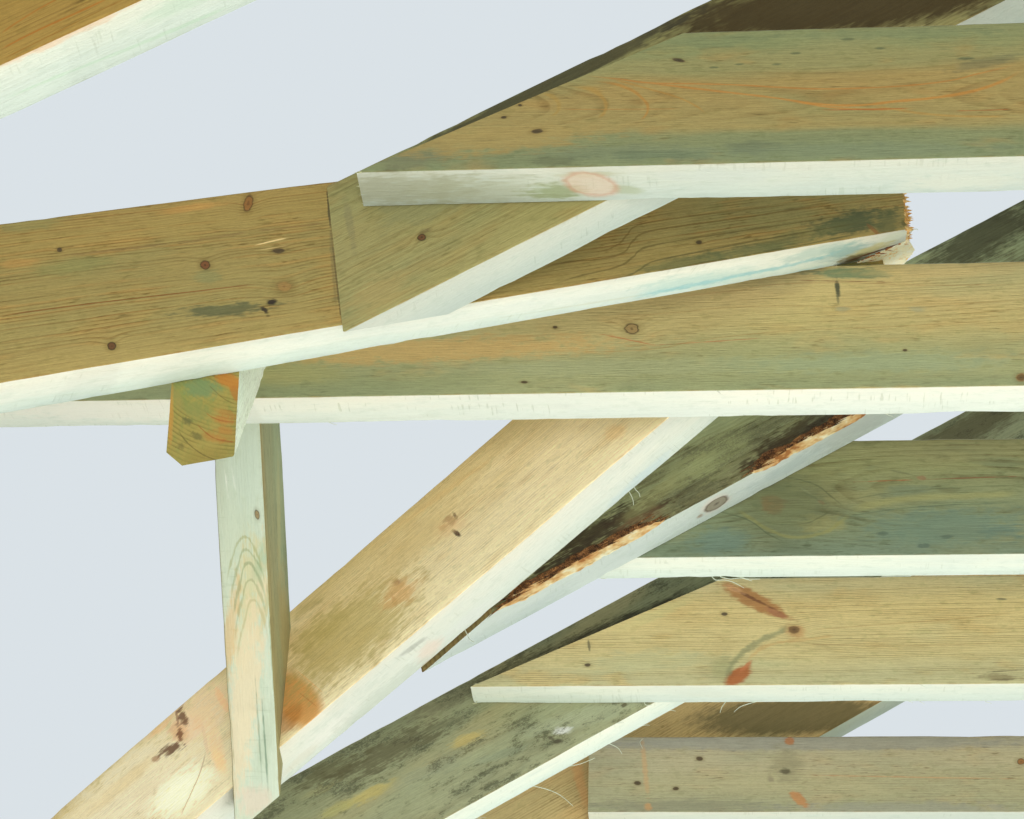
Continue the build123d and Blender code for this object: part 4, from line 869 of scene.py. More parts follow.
LOOKS["near_valley_rafter"] = dict(
    face=[(0.0, srgb(160, 142, 86)), (0.3, srgb(152, 138, 84)), (0.6, srgb(150, 134, 80)), (0.85, srgb(156, 136, 78)), (1.0, srgb(160, 136, 78))],
    edge=[(0.0, srgb(240, 238, 214)), (0.5, srgb(236, 239, 218)), (0.8, srgb(216, 229, 210)), (1.0, srgb(202, 218, 202))],
    end=(srgb(196, 140, 84), srgb(226, 178, 118), srgb(150, 92, 50)), rings=((0.055, -0.025), (0.0, -0.02), 0.0028, 0.012),
    mottle=[(srgb(134, 134, 86), 0.5, 0.66, 0.45, "a"), (srgb(172, 142, 80), 0.52, 0.7, 0.4, "b")],
    bands=(srgb(176, 132, 72), 0.009, 0.3), dashes=0.6, contrast=0.38,
    knots=[K(C, "red", "b", 205.3, 264.7, 4.8, 0, 4.4), K(C, "orange", "b", 248.4, 203, -1.6, 8.5, 4.2),
           K(C, "faint", "b", 284.4, 286.6, 8, 0, 6), K(C, "dark", "b", 112, 346, 4.4, 0, 4), K(C, "pin", "b", 279, 250.6, 6, 0, 2.5), K(C, "pin", "b", 59.4, 249.7, 2.6, 0, 2.2),
           K(C, "pin", "b", 699, 242, 3, 0, 2)],
    patches=[S(C, "b", 700, 238, 170, -32, 36, (142, 142, 84), 0.4), S(C, "b", 224, 309, 46, -4, 7, (84, 90, 62), 0.8, 0.7),
             S(C, "b", 270, 302, 6.5, -3, 3.2, (42, 36, 32), 0.95, 0.8), S(C, "b", 265, 310, 4, 5, 2.8, (44, 38, 34), 0.9, 0.8), S(C, "b", 207, 276, 14, 0, 7, (124, 130, 86), 0.5),
             L(C, "b", 254.7, 245, 287.5, 237.5, 1.0, (222, 196, 138), 0.9, 0.3), L(C, "b", 258, 250, 284, 246, 0.7, (214, 186, 128), 0.6),
             L(C, "b", 65.6, 255, 175, 243, 1.4, (122, 98, 60), 0.5), L(C, "b", 175, 243, 250, 232, 1.4, (122, 98, 60), 0.5),
             L(C, "b", 250, 232, 325, 222.5, 1.4, (122, 98, 60), 0.45), S(C, "b", 75, 266, 40, -6, 8, (128, 130, 78), 0.5),
             S(C, "b", 31, 224, 34, -4, 7, (140, 140, 88), 0.5), S(C, "b", 194, 207, 32, -5, 4, (184, 140, 76), 0.6),
             S(C, "b", 18, 263, 22, -2, 5, (180, 140, 78), 0.5), S(C, "b", 150, 330, 60, -10, 8, (164, 148, 92), 0.4),
             # The last patch on the line below and the first on the line after, dark lines down the joint with the
             # second left rafter's foot, are painted shadow in that gap.
             S(C, "b", 300, 310, 34, -4, 12, (120, 122, 82), 0.4), L(C, "b", 326.6, 186, 331, 232, 1.0, (58, 58, 42), 0.75),
             L(C, "b", 331, 232, 342, 326, 1.0, (64, 62, 44), 0.6), S(C, "b", 333, 260, 3, 44, 2.4, (112, 102, 68), 0.5),
             L(C, "b", 100, 222, 300, 196, 0.9, (134, 106, 62), 0.4), L(C, "b", 0, 286, 200, 262, 0.9, (128, 108, 66), 0.4),
             L(C, "b", 120, 362, 330, 322, 0.9, (140, 118, 70), 0.4), L(C, "b", 0, 345, 180, 318, 0.9, (134, 114, 70), 0.4),
             S(C, "b", 852, 222, 44, -9, 12, (72, 86, 60), 0.85, 0.6), S(C, "b", 800, 236, 60, -14, 8, (118, 120, 74), 0.5),
             S(C, "b", 874, 230, 7, 6, 2.4, (142, 98, 58), 0.8, 0.4), S(C, "b", 800, 212, 60, -8, 6, (158, 124, 66), 0.35),
             S(C, "b", 888, 222, 18, -2, 14, (98, 102, 66), 0.75, 0.6), S(C, "b", 580, 272, 60, -16, 9, (136, 130, 80), 0.4), S(C, "b", 690, 262, 60, -9, 7, (96, 104, 68), 0.65), S(C, "b", 760, 248, 60, -10, 6, (92, 104, 70), 0.6),
             S(C, "b", 908, 214, 3, 18, 2.2, (206, 152, 88), 0.9, 0.6), S(C, "b", 903.5, 222, 1.4, 4.5, 2.6, (96, 92, 58), 0.7),
             S(C, "e", 690, 284, 60, -10, 7, (196, 222, 212), 0.7),
             S(C, "e", 846, 252, 30, -7, 7, (150, 186, 176), 0.8), S(C, "e", 820, 252, 40, -10, 6, (170, 200, 186), 0.6),
             S(C, "e", 893, 238, 18, -7, 4, (224, 230, 200), 0.8), S(C, "e", 868, 251, 28, -10, 4, (214, 204, 138), 0.85), S(C, "e", 700, 280, 70, -10, 8, (196, 218, 198), 0.6),
             # The second mark on the line below, a dark line along the split under the head, is painted shadow in the
             # crack.
             S(C, "e", 852, 259, 16, -3, 4, (118, 104, 60), 0.9), L(C, "e", 846, 262, 909, 240.5, 0.9, (112, 66, 34), 0.9, 0.4),
             L(C, "e", 800, 262, 845, 250, 1.2, (130, 150, 130), 0.4), L(C, "e", 500, 318, 700, 286, 0.8, (204, 208, 178), 0.5),
             S(C, "e", 610, 296, 40, -6, 4, (216, 226, 208), 0.5)],
    traces=[trace(C, "b", [(-8, 316.5), (70, 306), (140, 297.5), (200, 290.5), (262, 283)], 0.8, (122, 76, 38), 0.8, 0.3),
            trace(C, "b", [(533, 281), (567, 262), (600, 259), (617, 255), (633, 241), (650, 231), (687, 225), (733, 219), (783, 211), (836, 202)], 0.9, (106, 90, 48), 0.65),
            trace(C, "b", [(545, 288), (583, 275), (613, 268), (633, 257), (650, 246), (687, 239), (733, 232), (800, 222), (862, 212)], 0.9, (100, 88, 48), 0.65),
            trace(C, "b", [(590, 282), (620, 277), (640, 269), (658, 260), (687, 254), (733, 245), (800, 233), (870, 221)], 0.9, (92, 88, 52), 0.65),
            trace(C, "b", [(578, 253), (600, 251), (615, 246), (627, 235), (645, 223), (683, 217), (733, 211), (800, 203)], 0.9, (112, 92, 48), 0.6),
            trace(C, "b", [(640, 277), (680, 267), (740, 256), (800, 245), (866, 232)], 0.9, (84, 88, 54), 0.6),
            trace(C, "e", [(628, 299), (680, 288), (740, 276), (800, 263), (852, 247)], 3.6, (152, 200, 196), 0.75, 0.9),
            trace(C, "e", [(650, 302), (720, 288), (790, 274), (834, 262)], 1.8, (176, 212, 204), 0.6, 0.9)],
    arris_highlight=(srgb(166, 134, 82), 0.003, 0.4))
LOOKS["far_valley_rafter"] = dict(
    face=[(0.0, srgb(214, 200, 150)), (0.35, srgb(210, 194, 144)), (0.7, srgb(202, 182, 126)), (1.0, srgb(186, 164, 104))],
    edge=CREAM, end=END, rings=((0.065, -0.06), (0.0, -0.008), 0.0026, 0.009),
    mottle=[(srgb(220, 204, 154), 0.5, 0.66, 0.45, "a"), (srgb(196, 170, 112), 0.54, 0.7, 0.4, "b")],
    contrast=0.22, dashes=0.16, relief=0.9,
    knots=[],
    patches=[S(G, "b", 450, 520, 7, 3, 5.5, (124, 78, 44), 0.9, 0.6), S(G, "b", 443, 527, 6, -3, 3, (156, 104, 58), 0.8, 0.5),
             S(G, "b", 456.5, 533, 4.2, 3, 2.8, (56, 38, 24), 0.95, 0.4), S(G, "b", 455, 516, 2.4, 4.5, 2, (74, 46, 28), 0.9, 0.5),
             L(G, "b", 434, 542, 492, 489, 0.8, (176, 140, 92), 0.55), S(G, "b", 397, 583, 5.5, -2, 4.5, (112, 68, 38), 0.95, 0.5),
             S(G, "b", 394, 600, 3, 8, 3, (146, 90, 50), 0.8, 0.6), S(G, "b", 398, 588, 12, 12, 9, (200, 160, 104), 0.45),
             S(G, "b", 450, 526, 16, -8, 10, (204, 170, 118), 0.45), S(G, "b", 615, 432, 12, -4, 8, (202, 168, 106), 0.55),
             L(G, "b", 381, 538, 492, 458, 3.0, (196, 158, 96), 0.45), L(G, "b", 300, 606, 381, 538, 2.6, (190, 158, 96), 0.4),
             S(G, "b", 318, 632, 28, -20, 14, (168, 152, 88), 0.65), S(G, "b", 306, 608, 18, -14, 5, (158, 140, 82), 0.6),
             S(G, "b", 296, 700, 19, -15, 38, (186, 132, 62), 0.9, 0.10), S(G, "b", 290, 718, 8, 6, 20, (168, 110, 46), 0.6, 0.2),
             L(G, "b", 294, 668, 322, 692, 0.8, (226, 172, 108), 0.6), L(G, "b", 296, 690, 316, 706, 0.8, (170, 106, 52), 0.6),
             S(G, "b", 340, 650, 26, -20, 8, (206, 184, 130), 0.5), 
             S(G, "b", 203, 712, 34, -26, 22, (214, 184, 134), 0.7), S(G, "b", 214, 742, 7, 26, 9, (220, 184, 128), 0.6), S(G, "b", 190, 728, 14, -10, 12, (214, 168, 112), 0.6), S(G, "b", 160, 728, 14, -12, 4, (206, 160, 100), 0.6), S(G, "b", 130, 790, 80, -66, 34, (228, 218, 176), 0.42, 0.6), S(G, "b", 182, 792, 30, -24, 20, (232, 230, 184), 0.8), S(G, "b", 350, 635, 70, -56, 36, (166, 148, 82), 0.75, 0.5), S(G, "b", 410, 545, 62, -52, 18, (184, 160, 100), 0.45, 0.6), S(G, "b", 399, 594, 20, -14, 12, (192, 150, 92), 0.6, 0.6),
             S(G, "b", 219, 760, 6, 14, 6, (226, 188, 126), 0.8), S(G, "b", 222, 700, 8, 14, 4, (222, 170, 112), 0.6),
             S(G, "b", 120, 786, 40, -34, 7, (196, 168, 104), 0.5), S(G, "b", 90, 806, 40, -30, 7, (214, 196, 144), 0.5),
             S(G, "b", 205, 740, 4, 20, 2, (206, 176, 128), 0.5),
             S(G, "b", 540, 470, 80, -60, 10, (214, 194, 140), 0.4), S(G, "b", 420, 510, 80, -62, 6, (194, 170, 108), 0.5),
             S(G, "e", 605, 521, 46, -40, 4, (182, 210, 214), 0.75), S(G, "e", 560, 562, 36, -34, 4, (190, 214, 214), 0.6),
             S(G, "e", 640, 480, 34, -30, 5, (196, 218, 214), 0.6), S(G, "e", 520, 590, 30, -26, 4, (206, 222, 212), 0.5),
             S(G, "e", 405, 632, 18, -12, 3, (174, 178, 158), 0.6), S(G, "e", 412, 648, 14, -10, 2.4, (160, 164, 148), 0.5),
             S(G, "e", 430, 650, 14, -12, 7, (236, 214, 190), 0.6), L(G, "e", 418, 668, 470, 636, 1.0, (176, 150, 92), 0.6),
             S(G, "e", 330, 730, 30, -26, 8, (238, 240, 222), 0.6), S(G, "e", 470, 618, 26, -20, 5, (226, 232, 218), 0.5),
             S(G, "e", 300, 760, 20, -18, 4, (222, 222, 196), 0.5), S(G, "e", 380, 700, 64, -54, 9, (202, 212, 190), 0.5, 0.7),
             S(G, "b", 178, 732, 7, -6, 13, (196, 152, 100), 0.7, 0.6), S(G, "b", 183, 717, 2.5, 9, 4.2, (92, 56, 28), 0.85, 0.8), S(G, "b", 177, 717, 1, 6, 1.6, (120, 80, 50), 0.7),
             S(G, "b", 180, 735, 1.5, 9, 3.2, (104, 62, 32), 0.85, 0.9), S(G, "b", 170, 749.5, 12, -5, 5, (88, 52, 26), 0.88, 0.8), S(G, "b", 155, 759, 4, -1.5, 3, (140, 96, 62), 0.65)],
    traces=[trace(G, "b", [(206, 750), (200, 772), (190, 795), (180, 816)], 1.2, (166, 140, 92), 0.6)],
    arris_highlight=(srgb(212, 190, 134), 0.0025, 0.35))
LOOKS["near_jack_rafter"] = dict(
    face=[(0.0, srgb(190, 198, 172)), (0.5, srgb(184, 194, 168)), (1.0, srgb(178, 188, 162))],
    edge=[(0.0, srgb(188, 196, 164)), (0.5, srgb(196, 204, 176)), (1.0, srgb(200, 208, 184))],
    end=(srgb(116, 132, 62), srgb(140, 138, 66), srgb(84, 82, 36)), rings=((-0.012, 0.125), (0.0, 0.0), 0.0026, 0.006),
    mottle=[(srgb(172, 184, 160), 0.5, 0.66, 0.5, "a")],
    patches=[S(E, "n", 200, 388, 22, 2, 11, (100, 130, 80), 0.75), S(E, "n", 196, 410, 14, 6, 10, (112, 128, 66), 0.6),
             S(E, "n", 230, 381, 17, 8, 8, (158, 112, 40), 0.85, 0.3), S(E, "n", 236, 394, 3, 8, 5, (148, 106, 42), 0.75),
             S(E, "n", 226, 413, 12, 4, 3.5, (152, 110, 46), 0.5), S(E, "n", 226, 436, 13, 4, 8, (148, 122, 54), 0.5),
             S(E, "n", 171, 415, -1, 34, 2.6, (160, 132, 58), 0.8), S(E, "n", 187, 421, 5, 3, 4, (82, 92, 50), 0.75),
             S(E, "n", 197, 436, 6, 3, 4, (86, 90, 46), 0.7), S(E, "n", 181, 446, 4, 2, 3.5, (92, 94, 48), 0.6),
             S(E, "n", 206, 456, 26, -6, 9, (124, 118, 52), 0.5),
             S(E, "n", 224, 420, 12, 3, 5, (160, 108, 44), 0.55), S(E, "n", 214, 438, 12, 4, 5, (154, 112, 48), 0.5), S(E, "n", 178, 400, 4, 14, 5, (126, 128, 66), 0.6),
             S(E, "n", 226, 430, 10, 1, 4, (156, 116, 50), 0.5)],
    traces=[trace(E, "n", [(177, 428), (185, 440), (196, 450), (208, 457), (226, 462)], 0.55, (76, 72, 32), 0.6, 0.5),
            trace(E, "n", [(196, 423), (204, 431), (214, 438), (226, 441), (236, 442)], 0.55, (124, 72, 28), 0.6, 0.5),
            trace(E, "n", [(205, 412), (214, 418), (224, 421), (236, 422)], 0.55, (132, 80, 32), 0.6, 0.5),
            trace(E, "n", [(208, 384), (216, 392), (226, 400), (236, 404)], 0.55, (92, 84, 40), 0.5, 0.5)],
    arris_highlight=(srgb(196, 190, 150), 0.003, 0.35))
LOOKS["far_jack_rafter"] = dict(
    face=[(0.0, srgb(178, 156, 112)), (0.3, srgb(172, 160, 122)), (0.7, srgb(168, 170, 138)), (1.0, srgb(166, 168, 138))],
    edge=[(0.0, srgb(204, 210, 178)), (0.3, srgb(202, 211, 180)), (0.7, srgb(198, 209, 180)), (1.0, srgb(200, 210, 182))],
    clouds=srgb(194, 206, 180), end=END, rings=((0.026, -0.055), (0.0, 0.010), 0.0026, 0.009),
    mottle=[(srgb(162, 160, 126), 0.5, 0.66, 0.5, "a")], contrast=0.45,
    knots=[K(F, "ring", "e", 257, 514.5, 0.6, 4.6, 2.2)],
    patches=[S(F, "e", 250, 470, 26, 0, 44, (200, 214, 190), 0.5), L(F, "e", 224, 466, 228, 496, 1.0, (226, 230, 208), 0.7),
             L(F, "e", 232, 470, 236, 494, 0.9, (222, 228, 206), 0.6), S(F, "e", 252, 578, 16, 0, 44, (204, 196, 142), 0.7, 0.6), S(F, "e", 267, 604, 4, 1, 50, (180, 172, 112), 0.6, 0.7), S(F, "e", 262, 560, 7, 2, 26, (158, 180, 140), 0.6, 0.6),
             S(F, "e", 244, 640, 12, 2, 40, (210, 202, 150), 0.55), S(F, "e", 250, 610, 14, 1, 22, (190, 186, 130), 0.45),
             S(F, "e", 244, 700, 17, 2, 120, (222, 206, 164), 0.8, 0.6), S(F, "e", 229, 640, 7, 1, 70, (214, 182, 126), 0.7), S(F, "e", 266, 740, 8, 2, 44, (180, 192, 160), 0.5),
             L(F, "e", 262, 700, 268, 790, 1.1, (96, 124, 96), 0.65), L(F, "e", 256, 690, 262, 780, 0.9, (112, 136, 108), 0.5),
             S(F, "e", 254, 800, 20, 0, 16, (214, 198, 170), 0.7), L(F, "e", 222, 600, 236, 790, 0.8, (168, 160, 116), 0.5),
             L(F, "e", 230, 580, 246, 800, 0.8, (184, 176, 134), 0.4), L(F, "e", 268, 600, 274, 700, 1.0, (138, 156, 112), 0.5),
             S(F, "f", 280, 480, 4, 60, 6, (178, 176, 140), 0.6), S(F, "f", 286, 640, 5, 80, 6, (190, 158, 108), 0.7), S(F, "f", 279, 520, 1, 70, 2, (196, 178, 132), 0.6),
             S(F, "f", 287, 750, 4, 40, 5, (176, 150, 106), 0.6)],
    traces=[trace(F, "e", [(226, 585), (233, 556), (240, 540), (246, 537), (254, 548), (264, 575)], 1.3, (154, 156, 98), 0.5, 0.9),
            trace(F, "e", [(230, 600), (238, 566), (245, 550), (253, 556), (266, 584)], 1.5, (134, 150, 104), 0.5, 0.9),
            trace(F, "e", [(232, 620), (240, 584), (248, 563), (256, 572), (267, 602)], 1.5, (126, 144, 100), 0.5, 0.9),
            trace(F, "e", [(234, 640), (242, 600), (250, 580), (258, 590), (268, 622)], 1.4, (140, 148, 100), 0.45, 0.9),
            trace(F, "e", [(236, 660), (245, 620), (253, 600), (261, 612), (270, 650)], 1.3, (162, 156, 104), 0.4, 0.9)],
    arris_highlight=(srgb(190, 176, 132), 0.003, 0.35))
LOOKS["plain"] = dict(
    face=[(0.0, srgb(152, 142, 90)), (0.5, srgb(164, 146, 88)), (1.0, srgb(156, 142, 88))],
    edge=CREAM, end=END, rings=((0.10, 0.04), (0.0, 0.006), 0.0028, 0.010),
    mottle=[(GREEN, 0.5, 0.66, 0.5, "a"), (srgb(176, 146, 84), 0.52, 0.7, 0.4, "b")], mould=0.12,
    arris_highlight=(srgb(178, 160, 108), 0.003, 0.4))

# Brightness and tint per timber for its broad, narrow and end faces: partly the wood's own tone, partly painted light
# and shade that evens out how the lamps here light each face, brightening dim far faces and dimming overlit undersides
LIGHT_AND_TONE_GAIN = {
    "ceiling_joist_1": (1.10, 0.62, 1.0), "ceiling_joist_2": ((1.34, 1.29, 1.26), (0.86, 0.82, 0.82), 1.0),
    "ceiling_joist_3": ((1.20, 1.16, 1.22), 0.86, 1.0), "ceiling_joist_4": ((1.42, 1.52, 1.76), 0.88, 1.0),
    "ceiling_joist_5": ((1.20, 1.13, 1.10), 0.88, 1.0), "left_rafter_1": ((0.89, 0.87, 0.67), 0.70, 1.0),
    "left_rafter_2": (1.22, 0.60, 1.0), "left_rafter_3": ((1.46, 1.60, 1.82), 0.73, 1.0),
    "left_rafter_4": ((1.13, 1.10, 1.11), 1.0, 1.0), "left_rafter_5": ((1.62, 1.60, 1.70), 0.9, 1.0),
    "near_valley_rafter": ((1.11, 1.09, 1.02), (0.75, 0.74, 0.74), 1.0), "far_valley_rafter": ((1.53, 1.53, 1.76), (0.77, 0.74, 0.74), 1.0),
    "near_jack_rafter": ((1.36, 1.38, 1.46), 0.96, (1.38, 1.12, 1.32)), "far_jack_rafter": ((0.74, 0.88, 0.80), (0.95, 0.94, 0.98), 1.0),
}


# ---------------------------------------------------------------------------
# Waney arris with bark on the third rafter
# ---------------------------------------------------------------------------
def ease(x):
    x = min(1.0, max(0.0, x))
    return x * x * (3.0 - 2.0 * x)


H_RUNS = [(H.see("e", 488, 614)[0], H.see("e", 676, 515)[0], 0.055), (H.see("e", 746, 479)[0], H.see("e", 880, 406)[0], 0.035)]


def wane_size(u):
    """Width across and height up of the missing arris of the third rafter, and how full it is."""
    s = max(ease(min(u - a, b - u) / run) for a, b, run in H_RUNS)
    n1, n2 = noise.noise(Vector((u * 26.0, 3.0, 0.0))), noise.noise(Vector((u * 130.0, 7.0, 0.0)))
    n3 = noise.noise(Vector((u * 60.0, 11.0, 0.0)))
    return 0.0062 * s * (1.0 + 0.4 * n1 + 0.35 * n2), 0.0135 * s * (1.0 + 0.35 * n1 + 0.3 * n3), s


def h_wane(u, w, v):
    cw, ch, s = wane_size(u)
    if s < 0.03 or w > 0.02 or v > 0.03:
        return w, v
    w1, v1 = max(w, 1e-5), max(v, 1e-5)
    k = w1 / cw + v1 / ch
    if k >= 1.0:
        return w, v
    k = max(k, 0.02)
    hollow = 1.0 + 0.10 * noise.noise(Vector((u * 190.0, v * 300.0, w * 300.0)))
    return w1 / k * hollow, v1 / k * hollow


def h_bark(u, w, v):
    cw, ch, s = wane_size(u)
    if s < 0.03 or w > cw * 1.5 + 0.001 or v > ch * 1.5:
        return 0.0
    f = v / ch
    return ease((f - 0.60) / 0.14) * ease((1.12 - f) / 0.22)


def h_clean(u, w, v):
    cw, ch, s = wane_size(u)
    if s < 0.03 or v > ch * 0.8:
        return 0.0
    return ease((0.76 - v / ch) / 0.15) * ease((cw * 1.5 - w) / (cw * 0.5))


# ---------------------------------------------------------------------------
# Splinters, hanging fibres and flakes, each rooted in its timber
# ---------------------------------------------------------------------------
class Bits:
    def __init__(self):
        self.v, self.f = [], []

    def spike(self, root, way, side, length, wide, thick):
        """A thin four-sided splinter from its root to a point."""
        way, side = unit(way), unit(side)
        nrm = unit(np.cross(way, side))
        k = len(self.v)
        for a, b in ((-1, -1), (1, -1), (1, 1), (-1, 1)):
            self.v.append(tuple(root + side * a * wide / 2 + nrm * b * thick / 2))
        for a, b in ((-1, -1), (1, -1), (1, 1), (-1, 1)):
            self.v.append(tuple(root + way * length * 0.6 + side * a * wide * 0.3 + nrm * b * thick * 0.35))
        self.v.append(tuple(root + way * length))
        self.f.append((k + 3, k + 2, k + 1, k))
        for i in range(4):
            j = (i + 1) % 4
            self.f.append((k + i, k + j, k + 4 + j, k + 4 + i))
            self.f.append((k + 4 + i, k + 4 + j, k + 8))

    def strand(self, pts, r0, r1, sides=6):
        """A round fibre through points, thinner towards its tip."""
        pts = [np.array(p, float) for p in pts]
        dense = []
        for i in range(len(pts) - 1):
            p0, p1, p2, p3 = pts[max(i - 1, 0)], pts[i], pts[i + 1], pts[min(i + 2, len(pts) - 1)]
            for j in range(5):
                x = j / 5.0
                dense.append(0.5 * (2 * p1 + (p2 - p0) * x + (2 * p0 - 5 * p1 + 4 * p2 - p3) * x * x + (3 * p1 - p0 - 3 * p2 + p3) * x ** 3))
        dense.append(pts[-1])
        k, n = len(self.v), len(dense)
        for i, p in enumerate(dense):
            tan = unit(dense[min(i + 1, n - 1)] - dense[max(i - 1, 0)])
            a = unit(np.cross(tan, (0.31, 0.27, 0.91)))
            b = np.cross(tan, a)
            r = r0 + (r1 - r0) * i / (n - 1)
            for j in range(sides):
                q = 2 * math.pi * j / sides
                self.v.append(tuple(p + a * r * math.cos(q) + b * r * math.sin(q)))
        for i in range(n - 1):
            for j in range(sides):
                j2 = (j + 1) % sides
                self.f.append((k + i * sides + j, k + i * sides + j2, k + (i + 1) * sides + j2, k + (i + 1) * sides + j))
        self.f.append(tuple(k + j for j in range(sides))[::-1])
        self.f.append(tuple(k + (n - 1) * sides + j for j in range(sides)))

    def make(self, name, mat):
        me = bpy.data.meshes.new(name)
        me.from_pydata(self.v, [], self.f)
        me.update()
        o = bpy.data.objects.new(name, me)
        bpy.context.scene.collection.objects.link(o)
        me.materials.append(mat)
        bm = bmesh.new()
        bm.from_mesh(me)
        bmesh.ops.recalc_face_normals(bm, faces=bm.faces)
        bm.to_mesh(me)
        bm.free()
        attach(o, "root")
        return o


def raw_wood(name, stops, scale=(90.0, 90.0, 90.0), rough=0.75):
    g = Graph(name)
    tc = g.new("ShaderNodeTexCoord")
    n1 = g.noise(g.stretch(tc.outputs["Object"], scale, 1.7), 3.0, 0.6)
    n2 = g.noise(g.stretch(tc.outputs["Object"], tuple(s * 6.0 for s in scale), 4.1), 2.0, 0.6)
    sh = g.new("ShaderNodeBsdfPrincipled")
    g.put(sh.inputs["Base Color"], g.ramp(g.math("MULTIPLY_ADD", n2, 0.45, g.math("MULTIPLY", n1, 0.55)), stops))
    sh.inputs["Roughness"].default_value = rough
    sh.inputs["Specular IOR Level"].default_value = 0.2
    bump = g.new("ShaderNodeBump")
    bump.inputs["Strength"].default_value = 0.5
    bump.inputs["Distance"].default_value = 0.0008
    g.put(bump.inputs["Height"], n2)
    g.put(sh.inputs["Normal"], bump.outputs[0])
    out = g.new("ShaderNodeOutputMaterial")
    g.put(out.inputs[0], sh.outputs[0])
    return g.mat


def placed(tim, p):
    return tim.o + tim.u * p[0] + tim.w * p[1] + tim.v * p[2]


def loose_work():
    rnd = np.random.default_rng(11)
    pale = raw_wood("torn_wood", [(0.36, srgb(176, 110, 46)), (0.46, srgb(216, 158, 80)), (0.56, srgb(232, 196, 128)), (0.68, srgb(230, 214, 166))])
    fibre = raw_wood("loose_fibres", [(0.35, srgb(190, 196, 170)), (0.6, srgb(206, 212, 190))], (200.0, 200.0, 200.0))
    flake = raw_wood("bark_flakes", [(0.36, srgb(36, 26, 16)), (0.46, srgb(76, 52, 31)), (0.56, srgb(124, 84, 48)), (0.68, srgb(180, 138, 86))], (160.0, 160.0, 160.0))

    # the near valley rafter's sawn head, frayed along its cut
    b = Bits()
    for i in range(230):
        w, v = rnd.uniform(0.001, C.t - 0.001), rnd.uniform(0.0005, C.d - 0.001)
        if i % 2 == 0:
            w = rnd.uniform(0.0003, 0.003)
        elif i % 4 == 1:
            v = rnd.uniform(0.0006, 0.004)
        u = (0.512 - FC[0] - C.o[0] - w * C.w[0] - v * C.v[0]) / C.u[0] - 0.009
        way = C.u + C.w * rnd.normal(0, 0.12) + C.v * rnd.normal(0, 0.10)
        b.spike(placed(C, (u, w, v)), way, C.v if i % 2 == 0 else C.w, rnd.uniform(0.006, 0.0125), rnd.uniform(0.0015, 0.004), rnd.uniform(0.0008, 0.0016))
    b.make("near_valley_frayed_head", pale)

    # a split slab hanging under the far side of that head
    quad = [(850, 266.5, -0.0008), (909, 241, -0.0015), (915, 250, -0.0045), (899, 271, -0.0065)]
    pa, pb, pc, pd = (C.meet("v", off, x, y) for x, y, off in quad)
    b = Bits()
    nu, nw = 26, 12
    for layer in range(2):
        for i in range(nu + 1):
            for j in range(nw + 1):
                s, t_ = i / nu, j / nw
                p = (pa * (1 - s) + pb * s) * (1 - t_) + (pd * (1 - s) + pc * s) * t_
                n_ = noise.noise(Vector((p[0] * 60.0, p[1] * 260.0, layer * 5.0)))
                if i in (0, nu) or j == 0:
                    p = p + np.array([0.0024, 0.0007, 0.0]) * noise.noise(Vector((s * 14.0, t_ * 11.0, 2.0)))
                if layer:
                    p = p + np.array([0.0, 0.0, 0.012 - 0.004 * t_])
                    b.v.append(tuple(placed(C, p)))
                else:
                    b.v.append(tuple(placed(C, p + np.array([0.0, 0.0, 0.0008 * n_ + 0.0006 * noise.noise(Vector((p[0] * 30.0, p[1] * 900.0, 1.0)))]))))
    m_ = (nu + 1) * (nw + 1)
    idx = lambda i, j, k: k * m_ + i * (nw + 1) + j
    for i in range(nu):
        for j in range(nw):
            b.f.append((idx(i, j, 0), idx(i + 1, j, 0), idx(i + 1, j + 1, 0), idx(i, j + 1, 0)))
            b.f.append((idx(i, j, 1), idx(i, j + 1, 1), idx(i + 1, j + 1, 1), idx(i + 1, j, 1)))
    for i in range(nu):
        for j in (0, nw):
            b.f.append((idx(i, j, 0), idx(i, j, 1), idx(i + 1, j, 1), idx(i + 1, j, 0)))
    for j in range(nw):
        for i in (0, nu):
            b.f.append((idx(i, j, 0), idx(i, j + 1, 0), idx(i, j + 1, 1), idx(i, j, 1)))
    b.make("near_valley_split", raw_wood("split_wood", [(0.30, srgb(214, 140, 72)), (0.38, srgb(250, 214, 146)), (0.46, srgb(254, 244, 204)), (0.62, srgb(254, 250, 222))], (40.0, 60.0, 60.0)))
    b = Bits()
    for i in range(46):
        s = rnd.uniform(0.0, 0.9) ** 1.3
        p = pa * (1 - s) + pb * s + np.array([rnd.uniform(-0.004, 0.004), rnd.uniform(-0.001, 0.003), 0.0012])
        b.spike(placed(C, p), C.u + C.w * rnd.normal(0.15, 0.15) - C.v * rnd.uniform(0.02, 0.22), C.w, rnd.uniform(0.006, 0.018), rnd.uniform(0.0008, 0.002), 0.0009)
    b.make("near_valley_split_fibres", raw_wood("split_fibres", [(0.36, srgb(110, 62, 30)), (0.5, srgb(184, 108, 50)), (0.64, srgb(232, 184, 122))], (220.0, 220.0, 220.0)))

    # bark and splinters along the third rafter's waney arris
    b = Bits()
    for i in range(300):
        a, e, run = H_RUNS[0] if i % 5 < 3 else H_RUNS[1]
        u = rnd.uniform(a + 0.01, e - 0.015)
        cw, ch, s = wane_size(u)
        if s < 0.25:
            continue
        f = rnd.uniform(0.60, 1.02)
        w, v = cw * (1 - f) + 0.0003, ch * f
        way = H.u * (1 if rnd.uniform() < 0.7 else -1) + H.v * rnd.normal(0.0, 0.10) - H.w * rnd.uniform(0.0, 0.05)
        b.spike(placed(H, (u, max(w, 0.0003), v)), way, H.v, rnd.uniform(0.008, 0.026), rnd.uniform(0.0008, 0.0024), rnd.uniform(0.0007, 0.0014))
    b.make("third_rafter_bark", flake)

